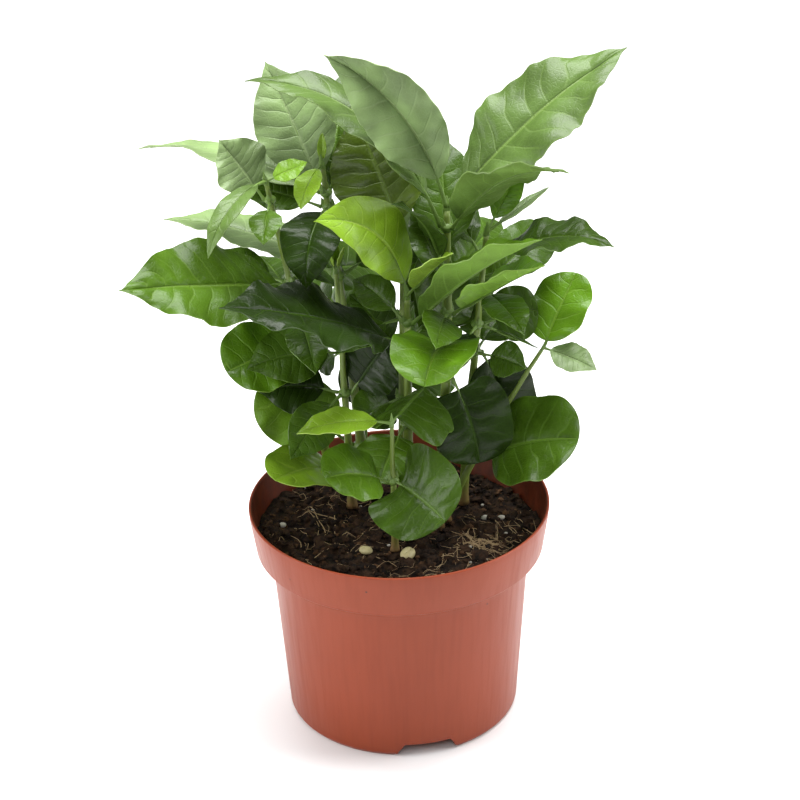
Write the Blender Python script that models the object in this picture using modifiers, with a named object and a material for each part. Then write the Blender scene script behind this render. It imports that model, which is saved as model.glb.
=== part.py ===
"""Potted coffee plant: nine seedlings with opposite leaves in a nursery pot. Metres, +Z up, front -Y."""
import bpy
import bmesh
import numpy as np
from math import cos, pi, radians, sin
from mathutils import Matrix, Vector
from mathutils.bvhtree import BVHTree

# Pot, a 12 cm nursery pot
POT_HEIGHT = 0.0913
RIM_RADIUS = 0.0600
COLLAR_FOOT_RADIUS = 0.0576
COLLAR_DROP = 0.0184
SHOULDER_RADIUS = 0.0519
FOOT_RADIUS = 0.0465
WALL = 0.0012
LIP = 0.0004
FLOOR_TOP = 0.0062
FOOT_RING_WIDTH = 0.0026
PAD_RADIUS = 0.0080
POT_STEPS = 40
POT_TURN = 2.3
NOTCH_WIDTH = 0.0235
NOTCH_HEIGHT = 0.0058
NOTCH_TURN = -78.5
NOTCHES = 3

# Soil
GAP = 0.0003
SOIL_TOP = 0.0800
SOIL_CROWN = 0.0010

# Leaves and stems
LONG_ROWS = 6
SHORT_ROWS = 5
LONG_LEAF = 0.045
LEAF_COLUMNS = 2
LEAF_THICKNESS = 0.0009
THICKNESS_SHARE = 0.0105
STALK_RADIUS = 0.0009
COLLAR_TUBE = 0.0009
STEM_SIDES = 2
STEM_POINTS = 8
ROOT_FLARE = 1.35
CLEARANCE = 0.0012
TURN_STEPS = (0, 8, -8, 16, -16, 26, -26, 38, -38, 52, -52)
RISE_STEPS = (0, 10, -10, 20, -20, 32, -32, 44)
SIZE_STEPS = (1.0, 0.85, 0.72, 0.6)


def leaf(azimuth, rise, length, width=0.46, droop=35, **more):
    """A true leaf: width is a share of the length, angles in degrees."""
    row = dict(kind="leaf", azimuth=azimuth, rise=rise, length=length, width=width * length,
               droop=droop, swing=0, roll=0, twist=0, fold=14, cup=0.15, wave=0.03, waves=3.0,
               phase=0.0, stalk=0.006, lobe=0.0, finds_room=False)
    row.update(more)
    return row


def seed(azimuth, rise, length, width=0.86, droop=30, **more):
    """A rounded seed leaf, the lowest pair of a seedling."""
    more.setdefault("waves", 2.5)
    more.setdefault("stalk", 0.005)
    more.setdefault("lobe", 0.1)
    return leaf(azimuth, rise, length, width, droop, kind="seed", **more)


def tier(share, *leaves):
    return dict(share=share, leaves=leaves)


ROOM = dict(finds_room=True)
SEEDLINGS = {
    "front": dict(
        foot=(-0.002, -0.020), lean=(0.000, 0.000), bow=0.0, height=0.055, thick=0.0030, tiers=dict(
            seed=tier(0.57, seed(-46, -7, 0.027, 1.36, 20, roll=-46, lobe=0.8, stalk=0.0020),
                      seed(-152, 36, 0.029, 0.95, 40, roll=25)),
            top=tier(1.0, leaf(-164, 18, 0.038, 0.42, 35, roll=8),
                     seed(52, 26, 0.022, 1.70, 20, fold=-26, roll=4, lobe=0.5, stalk=0.003)))),
    "middle": dict(
        foot=(0.004, 0.005), lean=(0.001, -0.002), bow=0.0, height=0.098, thick=0.0048, tiers=dict(
            seed=tier(0.44, seed(-121, -26, 0.025, 1.10, 30, lobe=0.0),
                      seed(80, 10, 0.034, roll=-30, **ROOM)),
            first=tier(0.81, leaf(-149, 33, 0.086, 0.48, 18, roll=15, wave=0.06),
                       leaf(36, 25, 0.060, roll=-35, **ROOM)),
            second=tier(0.90, leaf(-37, 48, 0.078, 0.30, 18, fold=50, wave=0.05),
                        leaf(140, 30, 0.050, roll=35, **ROOM)),
            top=tier(1.0, leaf(-156, 83, 0.059, 0.46, 85, roll=58),
                     leaf(-46, 50, 0.036, 0.44, 10, fold=30)))),
    "tall": dict(
        foot=(0.015, -0.003), lean=(0.006, 0.012), bow=0.002, height=0.132, thick=0.0048, tiers=dict(
            low=tier(0.49, seed(-37, -58, 0.036, 0.92, 26, roll=-36, lobe=0.3),
                     seed(120, 0, 0.030, roll=35, **ROOM)),
            seed=tier(0.60, seed(-104, 26, 0.038, 0.92, 60, fold=24, lobe=0.3),
                      seed(80, 20, 0.034, roll=-30, **ROOM)),
            first=tier(0.69, leaf(-39, 41, 0.054, 0.55, 10, fold=30),
                       leaf(-150, 40, 0.036, roll=30, **ROOM)),
            inner=tier(0.76, leaf(40, 20, 0.056, roll=-35, **ROOM), leaf(120, 60, 0.034, **ROOM)),
            second=tier(0.83, leaf(-150, 50, 0.040, 0.50, 60, **ROOM), leaf(100, 60, 0.056, **ROOM)),
            third=tier(0.95, leaf(-42, 57, 0.070, 0.42, 54, roll=22, wave=0.05, stalk=0.006),
                       leaf(163, 69, 0.101, 0.26, 80, roll=8, wave=0.05, stalk=0.014)),
            top=tier(1.0, leaf(180, 76, 0.079, 0.40, 50, roll=88, fold=32, wave=0.05, stalk=0.012),
                     leaf(18, 46, 0.091, 0.46, 22, roll=-17, wave=0.045, stalk=0.010)))),
    "rear_left": dict(
        foot=(-0.013, 0.022), lean=(-0.013, -0.002), bow=0.0, height=0.146, thick=0.0044, tiers=dict(
            seed=tier(0.17, seed(182, 40, 0.046, 0.66, 12, roll=66, stalk=0.012),
                      seed(64, 76, 0.043, 0.64, 10, stalk=0.014)),
            first=tier(0.69, leaf(143, 20, 0.074, 0.37, 20, swing=34),
                       leaf(25, 25, 0.050, roll=-35, **ROOM)),
            inner=tier(0.46, leaf(100, 15, 0.055, roll=40, **ROOM),
                       leaf(-170, 5, 0.040, 0.60, roll=45, **ROOM),
                       leaf(-178, -8, 0.030, 0.60, 15, roll=62, **ROOM)),
            second=tier(0.89, leaf(-105, 16, 0.043, 0.54, 115), leaf(80, 35, 0.060, **ROOM),
                        leaf(170, 30, 0.034, 0.50, 20, roll=30, **ROOM)),
            third=tier(0.93, leaf(157, 23, 0.080, 0.34, 40, roll=14, twist=-40),
                       leaf(129, 55, 0.055, 0.56, 5, roll=30)),
            top=tier(1.0, leaf(-122, -13, 0.021, 0.50, 60, stalk=0.003),
                     leaf(82, 76, 0.012, 0.26, 0, fold=30, stalk=0.002)))),
    "rear": dict(
        foot=(0.002, 0.023), lean=(0.002, -0.010), bow=0.0, height=0.118, thick=0.0044, tiers=dict(
            seed=tier(0.40, seed(70, 20, 0.036, roll=-35, **ROOM),
                      seed(-150, 20, 0.036, roll=40, **ROOM)),
            inner=tier(0.56, leaf(-165, 12, 0.052, 0.60, roll=45, **ROOM),
                       leaf(15, 15, 0.055, roll=-45, **ROOM)),
            first=tier(0.71, leaf(60, 25, 0.066, roll=-35, **ROOM),
                       leaf(-120, 35, 0.042, roll=20, **ROOM)),
            second=tier(0.86, leaf(114, 59, 0.080, 0.34, 20), leaf(-165, 60, 0.042, **ROOM)),
            top=tier(1.0, leaf(124, 57, 0.054, 0.70, 10, roll=34), leaf(-20, 50, 0.040, **ROOM)))),
    "slim": dict(
        foot=(-0.019, 0.015), lean=(-0.003, -0.004), bow=0.0, height=0.106, thick=0.0036, tiers=dict(
            seed=tier(0.16, seed(-130, 36, 0.045, 0.66, 36, roll=12),
                      seed(50, 25, 0.034, roll=-30, **ROOM)),
            first=tier(0.50, leaf(165, 15, 0.038, 0.74, 40, roll=40, **ROOM),
                       seed(-15, 60, 0.026, 1.05, 5, roll=-72, lobe=0.0, stalk=0.005),
                       leaf(-170, -20, 0.034, 0.55, 20, roll=50, **ROOM)),
            top=tier(1.0, leaf(-160, 64, 0.013, 0.28, -20, fold=30, stalk=0.002),
                     leaf(-30, 58, 0.011, 0.30, -30, fold=30, stalk=0.002),
                     leaf(90, 80, 0.012, 0.26, 0, fold=30, stalk=0.002)))),
    "left": dict(
        foot=(-0.029, 0.042), lean=(-0.018, -0.034), bow=0.0, height=0.145, thick=0.0036, tiers=dict(
            seed=tier(0.46, seed(-156, 2, 0.031, 1.02, 20, roll=35),
                      seed(75, 40, 0.040, roll=50, **ROOM)),
            first=tier(0.68, leaf(-149, 15, 0.072, 0.56, 5, roll=33, wave=0.045, stalk=0.003),
                       leaf(35, 30, 0.055, roll=-35, **ROOM),
                       leaf(165, 35, 0.036, 0.50, 20, roll=35, **ROOM)),
            inner=tier(0.58, leaf(110, 20, 0.045, **ROOM), leaf(-70, 0, 0.036, **ROOM)),
            second=tier(0.95, leaf(172, 58, 0.029, 0.88, 5, roll=36), leaf(-95, 0, 0.024, 0.50, 40)),
            top=tier(1.0, leaf(-121, 9, 0.046, 0.22, 70),
                     leaf(9, 22, 0.017, 0.54, 0, roll=-30, stalk=0.003)))),
    "right": dict(
        foot=(0.026, 0.016), lean=(0.010, -0.004), bow=0.0, height=0.120, thick=0.0040, tiers=dict(
            seed=tier(0.58, seed(12, -65, 0.042, 0.66, 20, roll=-80), seed(60, 20, 0.036, **ROOM),
                      leaf(8, 2, 0.040, 0.60, 20, roll=-50, **ROOM),
                      leaf(178, -22, 0.028, 0.60, 15, roll=60, **ROOM)),
            first=tier(0.68, seed(12, 17, 0.022, 0.98, 20, roll=-60), leaf(-136, 10, 0.034, 0.40, **ROOM),
                       leaf(-29, -7, 0.024, 0.34, 10, roll=35)),
            inner=tier(0.81, leaf(95, 30, 0.046, roll=-35, **ROOM), leaf(-105, 20, 0.036, **ROOM)),
            second=tier(0.92, leaf(-17, 37, 0.052, 0.48, 58, roll=-6, wave=0.06),
                        leaf(150, 40, 0.050, 0.44, 40, **ROOM)),
            top=tier(1.0, leaf(43, 49, 0.030, 0.36, 0, roll=-45), leaf(27, 25, 0.030, 0.17, 0)))),
    "outer": dict(
        foot=(0.019, 0.002), lean=(0.038, 0.006), bow=0.0, height=0.072, thick=0.0032, tiers=dict(
            seed=tier(0.40, seed(-19, 33, 0.042, 0.98, 30, roll=-30), seed(150, 15, 0.034, **ROOM)),
            top=tier(1.0, seed(55, 47, 0.033, 0.76, 10, lobe=0.0, stalk=0.003),
                     leaf(-27, -9, 0.023, 0.60, 10, roll=-20, stalk=0.003)))),
}


def ease(share):
    share = np.clip(share, 0, 1)
    return share * share * (3 - 2 * share)


def stem_point(seedling, share):
    foot, lean = seedling["foot"], seedling["lean"]
    rise = seedling["height"] * share
    upright = 0.002 / seedling["height"]
    away = max(0.0, share - upright) / (1 - upright)
    return np.array([foot[0] + lean[0] * away ** 1.15 + seedling["bow"] * sin(pi * away),
                     foot[1] + lean[1] * away ** 1.15, SOIL_TOP + GAP + rise])


def stem_radius(seedling, share):
    flare = 1 + (ROOT_FLARE - 1) * max(0.0, 1 - share / 0.08) ** 2
    return seedling["thick"] / 2 * (1 - 0.5 * share) * flare


def stem_axis(seedling, share):
    ahead = stem_point(seedling, min(1.0, share + 0.02)) - stem_point(seedling, max(0.0, share - 0.02))
    return ahead / np.linalg.norm(ahead)


def collar_radius(seedling, share):
    return stem_radius(seedling, share) + GAP + 0.00008 + COLLAR_TUBE


def leaf_foot(seedling, level, row):
    """Where a leaf's stalk starts: on the collar round the stem, or on the bud above its tip."""
    node = stem_point(seedling, level["share"])
    turn = radians(row["azimuth"])
    out = np.array([cos(turn), sin(turn), 0.0])
    if level["share"] == 1.0:
        return node + stem_axis(seedling, 1.0) * (GAP + 0.0012) + out * 0.0002
    axis = stem_axis(seedling, level["share"])
    out = out - axis * (out @ axis)
    return node + out / np.linalg.norm(out) * collar_radius(seedling, level["share"])


def midrib(foot, row, count=60):
    """Points, tangents, sideways and upward directions down a leaf from its foot to its tip."""
    along = np.linspace(0, 1, count)
    rise = np.radians(row["rise"] - row["droop"] * along ** 1.3)
    turn = np.radians(row["azimuth"] + row["swing"] * along)
    ahead = np.stack([np.cos(rise) * np.cos(turn), np.cos(rise) * np.sin(turn), np.sin(rise)], 1)
    steps = (ahead[1:] + ahead[:-1]) / 2 * row["length"] / (count - 1)
    points = foot + np.vstack([np.zeros(3), np.cumsum(steps, axis=0)])
    side = np.stack([np.sin(turn), -np.cos(turn), 0 * turn], 1)
    up = np.cross(side, ahead)
    roll = np.radians(row["roll"] + row["twist"] * along)[:, None]
    return along, points, side * np.cos(roll) + up * np.sin(roll), up * np.cos(roll) - side * np.sin(roll)


def half_width(row, share):
    """Half the blade's width from its base (0) to its tip (1)."""
    share = np.clip(share, 0, 1)
    half = row["width"] / 2
    if row["kind"] == "seed":
        return half * np.sqrt(np.clip(1 - np.abs(2 * share - 1) ** 2.3, 0, 1)) + 0.0005
    belly = np.sin(pi * share ** 0.82) ** 0.95
    return half * belly * (1 - 0.38 * ease((share - 0.74) / 0.26)) + 0.0005


def blade_points(foot, row, share, across):
    """Points at shares of a blade's length and places across it (-1 to 1); -1 to 0 is its stalk."""
    along, points, side, up = midrib(foot, row)
    start = row["stalk"] / row["length"]
    half = np.where(share < 0, STALK_RADIUS, half_width(row, share))
    reach = np.abs(across)
    wide = 2 * half * reach / row["width"]
    place = np.where(share < 0, start * (1 + share), start + share * (1 - start))
    place = place - np.where(share < 0, 0.0, row["lobe"] * wide ** 2 * (1 - share) ** 2)
    behind = np.minimum(place, 0.0)[:, None] * (points[1] - points[0]) / along[1]

    def at(rows):
        return np.stack([np.interp(place, along, rows[:, k]) for k in range(3)], 1)

    fold = radians(row["fold"])
    ripple = np.sin(2 * pi * row["waves"] * share + row["phase"] + np.where(across < 0, 1.9, 0.0))
    ripple = ripple * ease(share * 5) * ease((1 - share) * 4)
    lift = half * reach * sin(fold) - half * reach ** 2 * row["cup"]
    lift = lift + row["wave"] * row["width"] * reach ** 1.6 * ripple
    middle = at(points) + behind
    return middle + at(side) * (half * across * cos(fold))[:, None] + at(up) * lift[:, None], at(up)


def leaf_shell(foot, row, columns=6, spare=CLEARANCE):
    """A coarse closed shell round a leaf and its stalk, for finding what it would touch."""
    shares = np.concatenate([[-1.0, -0.5], np.linspace(0, 1, 15)])
    rows = len(shares) - 1
    share, across = np.meshgrid(shares, np.linspace(-1, 1, columns + 1), indexing="ij")
    points, up = blade_points(foot, row, share.ravel(), across.ravel())
    count = points.shape[0]
    corners = np.vstack([points + up * spare, points - up * spare])
    faces = []
    for i in range(rows):
        for j in range(columns):
            a, b = i * (columns + 1) + j, (i + 1) * (columns + 1) + j
            faces += [(a, b, b + 1, a + 1), (a + count, a + 1 + count, b + 1 + count, b + count)]
    rim = [j for j in range(columns + 1)] + [(i + 1) * (columns + 1) + columns for i in range(rows)]
    rim += [rows * (columns + 1) + j for j in range(columns - 1, -1, -1)]
    rim += [i * (columns + 1) for i in range(rows - 1, 0, -1)]
    faces += [(rim[k], rim[(k + 1) % len(rim)], rim[(k + 1) % len(rim)] + count, rim[k] + count)
              for k in range(len(rim))]
    return BVHTree.FromPolygons([tuple(p) for p in corners], faces, all_triangles=False, epsilon=0.0)


def stem_shell(seedling, low=0.0, high=1.0):
    """A six-sided tube round a stem with the clearance added."""
    corners, faces = [], []
    shares = np.linspace(low, high, 15)
    for share in shares:
        centre, radius = stem_point(seedling, share), stem_radius(seedling, share) + CLEARANCE
        corners += [tuple(centre + radius * np.array([cos(k * pi / 3), sin(k * pi / 3), 0]))
                    for k in range(6)]
    for i in range(len(shares) - 1):
        faces += [(i * 6 + k, i * 6 + (k + 1) % 6, i * 6 + 6 + (k + 1) % 6, i * 6 + 6 + k)
                  for k in range(6)]
    return BVHTree.FromPolygons(corners, faces, all_triangles=False, epsilon=0.0)


def grow_leaves():
    """Sets every leaf; one that finds its own room turns, lifts or shrinks until it clears the rest."""
    stems = {name: stem_shell(seedling) for name, seedling in SEEDLINGS.items()}
    standing, grown = [], {}
    order = [(name, level_name, number) for name, seedling in SEEDLINGS.items()
             for level_name, level in seedling["tiers"].items() for number in range(len(level["leaves"]))]
    order.sort(key=lambda place: SEEDLINGS[place[0]]["tiers"][place[1]]["leaves"][place[2]]["finds_room"])
    tries = sorted(((abs(turn) + abs(rise) * 0.8 + (1 - size) * 90, turn, rise, size)
                    for turn in TURN_STEPS for rise in RISE_STEPS for size in SIZE_STEPS))
    for name, level_name, number in order:
        seedling = SEEDLINGS[name]
        level = seedling["tiers"][level_name]
        asked = level["leaves"][number]
        for cost, turn, rise, size in (tries if asked["finds_room"] else tries[:1]):
            row = dict(asked, azimuth=asked["azimuth"] + turn, rise=asked["rise"] + rise,
                       length=asked["length"] * size, width=asked["width"] * size)
            foot = leaf_foot(seedling, level, row)
            shell = leaf_shell(foot, row)
            clear = True
            if asked["finds_room"]:
                clear = not any(shell.overlap(other) for other in standing)
                clear = clear and not any(shell.overlap(stem) for key, stem in stems.items() if key != name)
            if clear:
                standing.append(shell)
                grown[name, level_name, number] = (foot, row)
                break
    return grown


def clear_scene():
    for thing in list(bpy.data.objects):
        bpy.data.objects.remove(thing, do_unlink=True)
    for group in list(bpy.data.collections):
        bpy.data.collections.remove(group)


def material(name, colour, roughness):
    made = bpy.data.materials.new(name)
    made.use_nodes = True
    shader = made.node_tree.nodes["Principled BSDF"]
    shader.inputs["Base Color"].default_value = (*colour, 1.0)
    shader.inputs["Roughness"].default_value = roughness
    shader.inputs["Metallic"].default_value = 0.0
    return made


def add_object(name, mesh, group):
    made = bpy.data.objects.new(name, mesh)
    group.objects.link(made)
    return made


def settle_mesh(thing):
    """Replaces an object's modifiers by the mesh that they make."""
    bpy.context.view_layer.update()
    shape = bpy.data.meshes.new_from_object(thing.evaluated_get(bpy.context.evaluated_depsgraph_get()))
    thing.modifiers.clear()
    thing.data = shape
    return thing


def triangulated(mesh):
    """Cuts a mesh's faces into outward triangles and says whether every edge has two of them."""
    work = bmesh.new()
    work.from_mesh(mesh)
    bmesh.ops.triangulate(work, faces=work.faces)
    bmesh.ops.recalc_face_normals(work, faces=work.faces)
    closed = all(len(edge.link_faces) == 2 for edge in work.edges)
    work.to_mesh(mesh)
    work.free()
    return closed


def join_group(base, group):
    """One union of a collection's solids with the base solid; the collection's objects then go."""
    start = base.data
    for solver in ("EXACT", "MANIFOLD"):
        base.data = start
        union = base.modifiers.new("join", "BOOLEAN")
        union.operation = "UNION"
        union.operand_type = "COLLECTION"
        union.collection = group
        union.solver = solver
        settle_mesh(base)
        if triangulated(base.data):
            break
    for piece in list(group.objects):
        bpy.data.objects.remove(piece, do_unlink=True)
    bpy.data.collections.remove(group)
    return base


def tube(name, points, radii, group, resolution):
    """A tapering tube along points, made as a curve and turned into a closed mesh."""
    line = bpy.data.curves.new(name + "_line", "CURVE")
    line.dimensions = "3D"
    line.bevel_depth = 1.0
    line.bevel_resolution = resolution
    line.use_fill_caps = True
    spline = line.splines.new("POLY")
    spline.points.add(len(points) - 1)
    for knot, point, radius in zip(spline.points, points, radii):
        knot.co = (*point, 1.0)
        knot.radius = radius
    guide = bpy.data.objects.new(name + "_guide", line)
    group.objects.link(guide)
    bpy.context.view_layer.update()
    shape = bpy.data.meshes.new_from_object(guide.evaluated_get(bpy.context.evaluated_depsgraph_get()))
    shape.name = name
    place = guide.matrix_world.copy()
    bpy.data.objects.remove(guide, do_unlink=True)
    bpy.data.curves.remove(line)
    weld = bmesh.new()
    weld.from_mesh(shape)
    bmesh.ops.remove_doubles(weld, verts=weld.verts, dist=1e-6)
    bmesh.ops.recalc_face_normals(weld, faces=weld.faces)
    weld.to_mesh(shape)
    weld.free()
    made = add_object(name, shape, group)
    made.matrix_world = place
    return made


def leaf_solid(name, foot, row, group):
    """A blade: a grid laid on the leaf's surface and thickened."""
    rows = LONG_ROWS if row["length"] > LONG_LEAF else SHORT_ROWS
    sheet = bmesh.new()
    bmesh.ops.create_grid(sheet, x_segments=rows, y_segments=LEAF_COLUMNS, size=0.5)
    share = np.array([v.co.x + 0.5 for v in sheet.verts])
    across = np.array([2 * v.co.y for v in sheet.verts])
    if row["kind"] == "seed":
        share = 0.5 - 0.5 * np.cos(pi * share)
    points, up = blade_points(foot, row, share, across)
    for corner, point in zip(sheet.verts, points):
        corner.co = point
    shape = bpy.data.meshes.new(name)
    sheet.to_mesh(shape)
    sheet.free()
    made = add_object(name, shape, group)
    skin = made.modifiers.new("skin", "SOLIDIFY")
    skin.thickness = max(LEAF_THICKNESS, THICKNESS_SHARE * row["length"])
    skin.offset = 0.0
    settle_mesh(made)
    start = row["stalk"] / row["length"]
    along, points, side, up = midrib(foot, row)
    reach = np.array([0.0, start * 0.6, start + 0.16 * (1 - start)])
    line = np.stack([np.interp(reach, along, points[:, k]) for k in range(3)], 1)
    tube(name + "_stalk", line, [STALK_RADIUS, STALK_RADIUS, STALK_RADIUS * 0.8], group, 0)
    return made


def collar(name, seedling, share, group):
    """The ring of stipules that holds a pair of leaves round the stem."""
    bpy.ops.mesh.primitive_torus_add(major_segments=7, minor_segments=4, minor_radius=COLLAR_TUBE,
                                     major_radius=collar_radius(seedling, share))
    made = bpy.context.active_object
    for owner in list(made.users_collection):
        owner.objects.unlink(made)
    group.objects.link(made)
    made.name = name
    turn = Vector((0, 0, 1)).rotation_difference(Vector(stem_axis(seedling, share))).to_matrix().to_4x4()
    made.data.transform(Matrix.Translation(Vector(stem_point(seedling, share))) @ turn)
    return made


def bud(name, seedling, group):
    """The growing tip, set on the stem's flat top with the usual gap."""
    height, wide = 0.0060, stem_radius(seedling, 1.0)
    cone = bmesh.new()
    bmesh.ops.create_cone(cone, cap_ends=True, cap_tris=False, segments=8,
                          radius1=wide, radius2=wide * 0.35, depth=height)
    axis = Vector(stem_axis(seedling, 1.0))
    turn = Vector((0, 0, 1)).rotation_difference(axis).to_matrix().to_4x4()
    centre = Vector(stem_point(seedling, 1.0)) + axis * (GAP + height / 2)
    bmesh.ops.transform(cone, matrix=Matrix.Translation(centre) @ turn, verts=cone.verts)
    shape = bpy.data.meshes.new(name)
    cone.to_mesh(shape)
    cone.free()
    return add_object(name, shape, group)


def stem_solid(name, seedling, group):
    """A seedling's stem from its flared foot to its tip."""
    shares = [0.0, 0.002 / seedling["height"]]
    shares += [0.05 + 0.95 * k / (STEM_POINTS - 3) for k in range(STEM_POINTS - 2)]
    points = [stem_point(seedling, share) for share in shares]
    return tube(name, points, [stem_radius(seedling, share) for share in shares], group, STEM_SIDES)


def turned(name, profile, steps, group):
    """A closed turned solid from a profile of (radius, height) that runs down its outside."""
    shape = bpy.data.meshes.new(name)
    shape.from_pydata([(radius, 0.0, height) for radius, height in profile],
                      [(k, k + 1) for k in range(len(profile) - 1)], [])
    made = add_object(name, shape, group)
    screw = made.modifiers.new("turn", "SCREW")
    screw.steps = screw.render_steps = steps
    screw.use_merge_vertices = True
    screw.merge_threshold = 0.00002
    settle_mesh(made)
    check = bmesh.new()
    check.from_mesh(made.data)
    bmesh.ops.remove_doubles(check, verts=check.verts, dist=1e-6)
    bmesh.ops.recalc_face_normals(check, faces=check.faces)
    check.to_mesh(made.data)
    check.free()
    return made


def pot_outside(height):
    """The body's outer radius below the collar."""
    top = POT_HEIGHT - COLLAR_DROP
    return FOOT_RADIUS + (SHOULDER_RADIUS - FOOT_RADIUS) * height / top


def pot_solid(name, group, guides):
    top = POT_HEIGHT - COLLAR_DROP
    ring = FOOT_RADIUS - FOOT_RING_WIDTH
    under = FLOOR_TOP - WALL
    profile = [(0.0, FLOOR_TOP), (pot_outside(FLOOR_TOP) - WALL, FLOOR_TOP),
               (pot_outside(top - WALL) - WALL, top - WALL), (COLLAR_FOOT_RADIUS - WALL, top + WALL * 0.6),
               (RIM_RADIUS - WALL, POT_HEIGHT - LIP), (RIM_RADIUS - WALL + LIP, POT_HEIGHT),
               (RIM_RADIUS - LIP, POT_HEIGHT), (RIM_RADIUS, POT_HEIGHT - LIP),
               (RIM_RADIUS - 0.0003, POT_HEIGHT - 0.0040),
               (COLLAR_FOOT_RADIUS, top + 0.0006), (COLLAR_FOOT_RADIUS - 0.0006, top),
               (pot_outside(top - WALL * 0.6), top - WALL * 0.6), (pot_outside(0.003), 0.003),
               (FOOT_RADIUS - 0.0004, 0.0010), (FOOT_RADIUS - 0.0014, 0.0), (ring, 0.0),
               (ring - 0.0006, under),
               (PAD_RADIUS + 0.0008, under), (PAD_RADIUS, 0.0), (0.0, 0.0)]
    made = turned(name, profile, POT_STEPS, group)
    made.data.transform(Matrix.Rotation(radians(POT_TURN), 4, "Z"))
    reach = 0.012
    for number in range(NOTCHES):
        bpy.ops.mesh.primitive_cube_add(size=1.0)
        cutter = bpy.context.active_object
        for owner in list(cutter.users_collection):
            owner.objects.unlink(cutter)
        guides.objects.link(cutter)
        cutter.name = f"notch_{number + 1}"
        cutter.hide_render = True
        cutter.display_type = "WIRE"
        for corner in cutter.data.vertices:
            narrow = 0.74 if corner.co.z > 0 else 1.10
            corner.co = Vector((corner.co.x * reach, corner.co.y * NOTCH_WIDTH * narrow,
                                corner.co.z * 2 * NOTCH_HEIGHT))
        turn = radians(NOTCH_TURN + number * 360.0 / NOTCHES)
        cutter.data.transform(Matrix.Rotation(turn, 4, "Z") @ Matrix.Translation((FOOT_RADIUS, 0, 0)))
        cut = made.modifiers.new(f"cut_{number + 1}", "BOOLEAN")
        cut.operation = "DIFFERENCE"
        cut.object = cutter
        cut.solver = "EXACT"
    return settle_mesh(made)


def collar_inside(height):
    """The inner wall's radius above its step."""
    low = POT_HEIGHT - COLLAR_DROP + WALL * 0.6
    share = (height - low) / (POT_HEIGHT - LIP - low)
    return COLLAR_FOOT_RADIUS - WALL + (RIM_RADIUS - COLLAR_FOOT_RADIUS) * share


def soil_solid(name, group):
    """Soil that fills the pot a little below its rim, with a flat top for the stems."""
    top = POT_HEIGHT - COLLAR_DROP
    spare = GAP + 0.0003
    wall = WALL + spare
    low = FLOOR_TOP + GAP
    edge = SOIL_TOP - 0.0020
    profile = [(0.0, SOIL_TOP), (0.0480, SOIL_TOP), (0.0545, SOIL_TOP - SOIL_CROWN),
               (collar_inside(edge) - spare, edge),
               (COLLAR_FOOT_RADIUS - wall - 0.0001, top + WALL * 0.6 + 0.0006),
               (pot_outside(top - WALL) - wall, top - WALL + 0.0002),
               (pot_outside(low) - wall, low), (0.0, low)]
    return turned(name, profile, 32, group)


def build():
    clear_scene()
    scene = bpy.context.scene
    parts = bpy.data.collections.new("potted_coffee_plant")
    guides = bpy.data.collections.new("guides")
    scene.collection.children.link(parts)
    scene.collection.children.link(guides)
    terracotta = material("pot_plastic", (0.42, 0.13, 0.065), 0.45)
    peat = material("peat", (0.030, 0.018, 0.012), 0.95)
    bark = material("young_stem", (0.30, 0.36, 0.10), 0.6)
    green = material("leaf_green", (0.07, 0.20, 0.03), 0.35)
    seed_green = material("seed_leaf_green", (0.05, 0.17, 0.03), 0.35)
    pot_solid("pot", parts, guides).data.materials.append(terracotta)
    soil_solid("soil", parts).data.materials.append(peat)
    grown = grow_leaves()
    for name, seedling in SEEDLINGS.items():
        stem_solid(f"{name}_stem", seedling, parts).data.materials.append(bark)
        for level_name, level in seedling["tiers"].items():
            node = f"{name}_{level_name}_leaves"
            group = bpy.data.collections.new(node + "_pieces")
            scene.collection.children.link(group)
            if level["share"] == 1.0:
                base = bud(node, seedling, parts)
            else:
                base = collar(node, seedling, level["share"], parts)
            for number in range(len(level["leaves"])):
                if (name, level_name, number) in grown:
                    foot, row = grown[name, level_name, number]
                    leaf_solid(f"{node}_{number + 1}", foot, row, group)
            join_group(base, group)
            base.data.materials.clear()
            base.data.materials.append(seed_green if level_name == "seed" else green)
    return grown


GROWN = build()
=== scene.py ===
"""A potted coffee plant for its picture: veined glossy leaves, young stems, peat and a nursery pot."""

from math import cos, pi, radians, sin

import bmesh
import bpy
import numpy as np
from mathutils import Matrix, Vector, noise
from mathutils.bvhtree import BVHTree


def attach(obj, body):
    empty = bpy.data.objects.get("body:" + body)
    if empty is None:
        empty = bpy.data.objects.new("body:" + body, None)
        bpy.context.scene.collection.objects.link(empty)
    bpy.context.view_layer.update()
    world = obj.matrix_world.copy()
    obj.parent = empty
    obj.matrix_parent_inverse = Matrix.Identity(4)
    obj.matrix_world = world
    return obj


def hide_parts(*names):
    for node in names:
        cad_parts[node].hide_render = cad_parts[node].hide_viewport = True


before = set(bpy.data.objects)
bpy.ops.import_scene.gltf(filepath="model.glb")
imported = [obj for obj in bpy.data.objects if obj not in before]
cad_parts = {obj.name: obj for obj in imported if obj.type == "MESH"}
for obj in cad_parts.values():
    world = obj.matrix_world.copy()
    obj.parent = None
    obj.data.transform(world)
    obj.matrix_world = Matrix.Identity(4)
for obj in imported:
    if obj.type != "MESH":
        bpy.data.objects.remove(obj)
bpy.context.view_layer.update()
NOISE_SEED = 5
noise.seed_set(NOISE_SEED)  # noise_vector would else differ from run to run

# Picture
CAMERA_TARGET = Vector((0.0014, 0.0, 0.1363))
CAMERA_DISTANCE = 1.0
CAMERA_PITCH = 27.6
CAMERA_ROLL = -1.4
CAMERA_LENS = 115.2
WORLD_STRENGTH = 0.24
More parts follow.
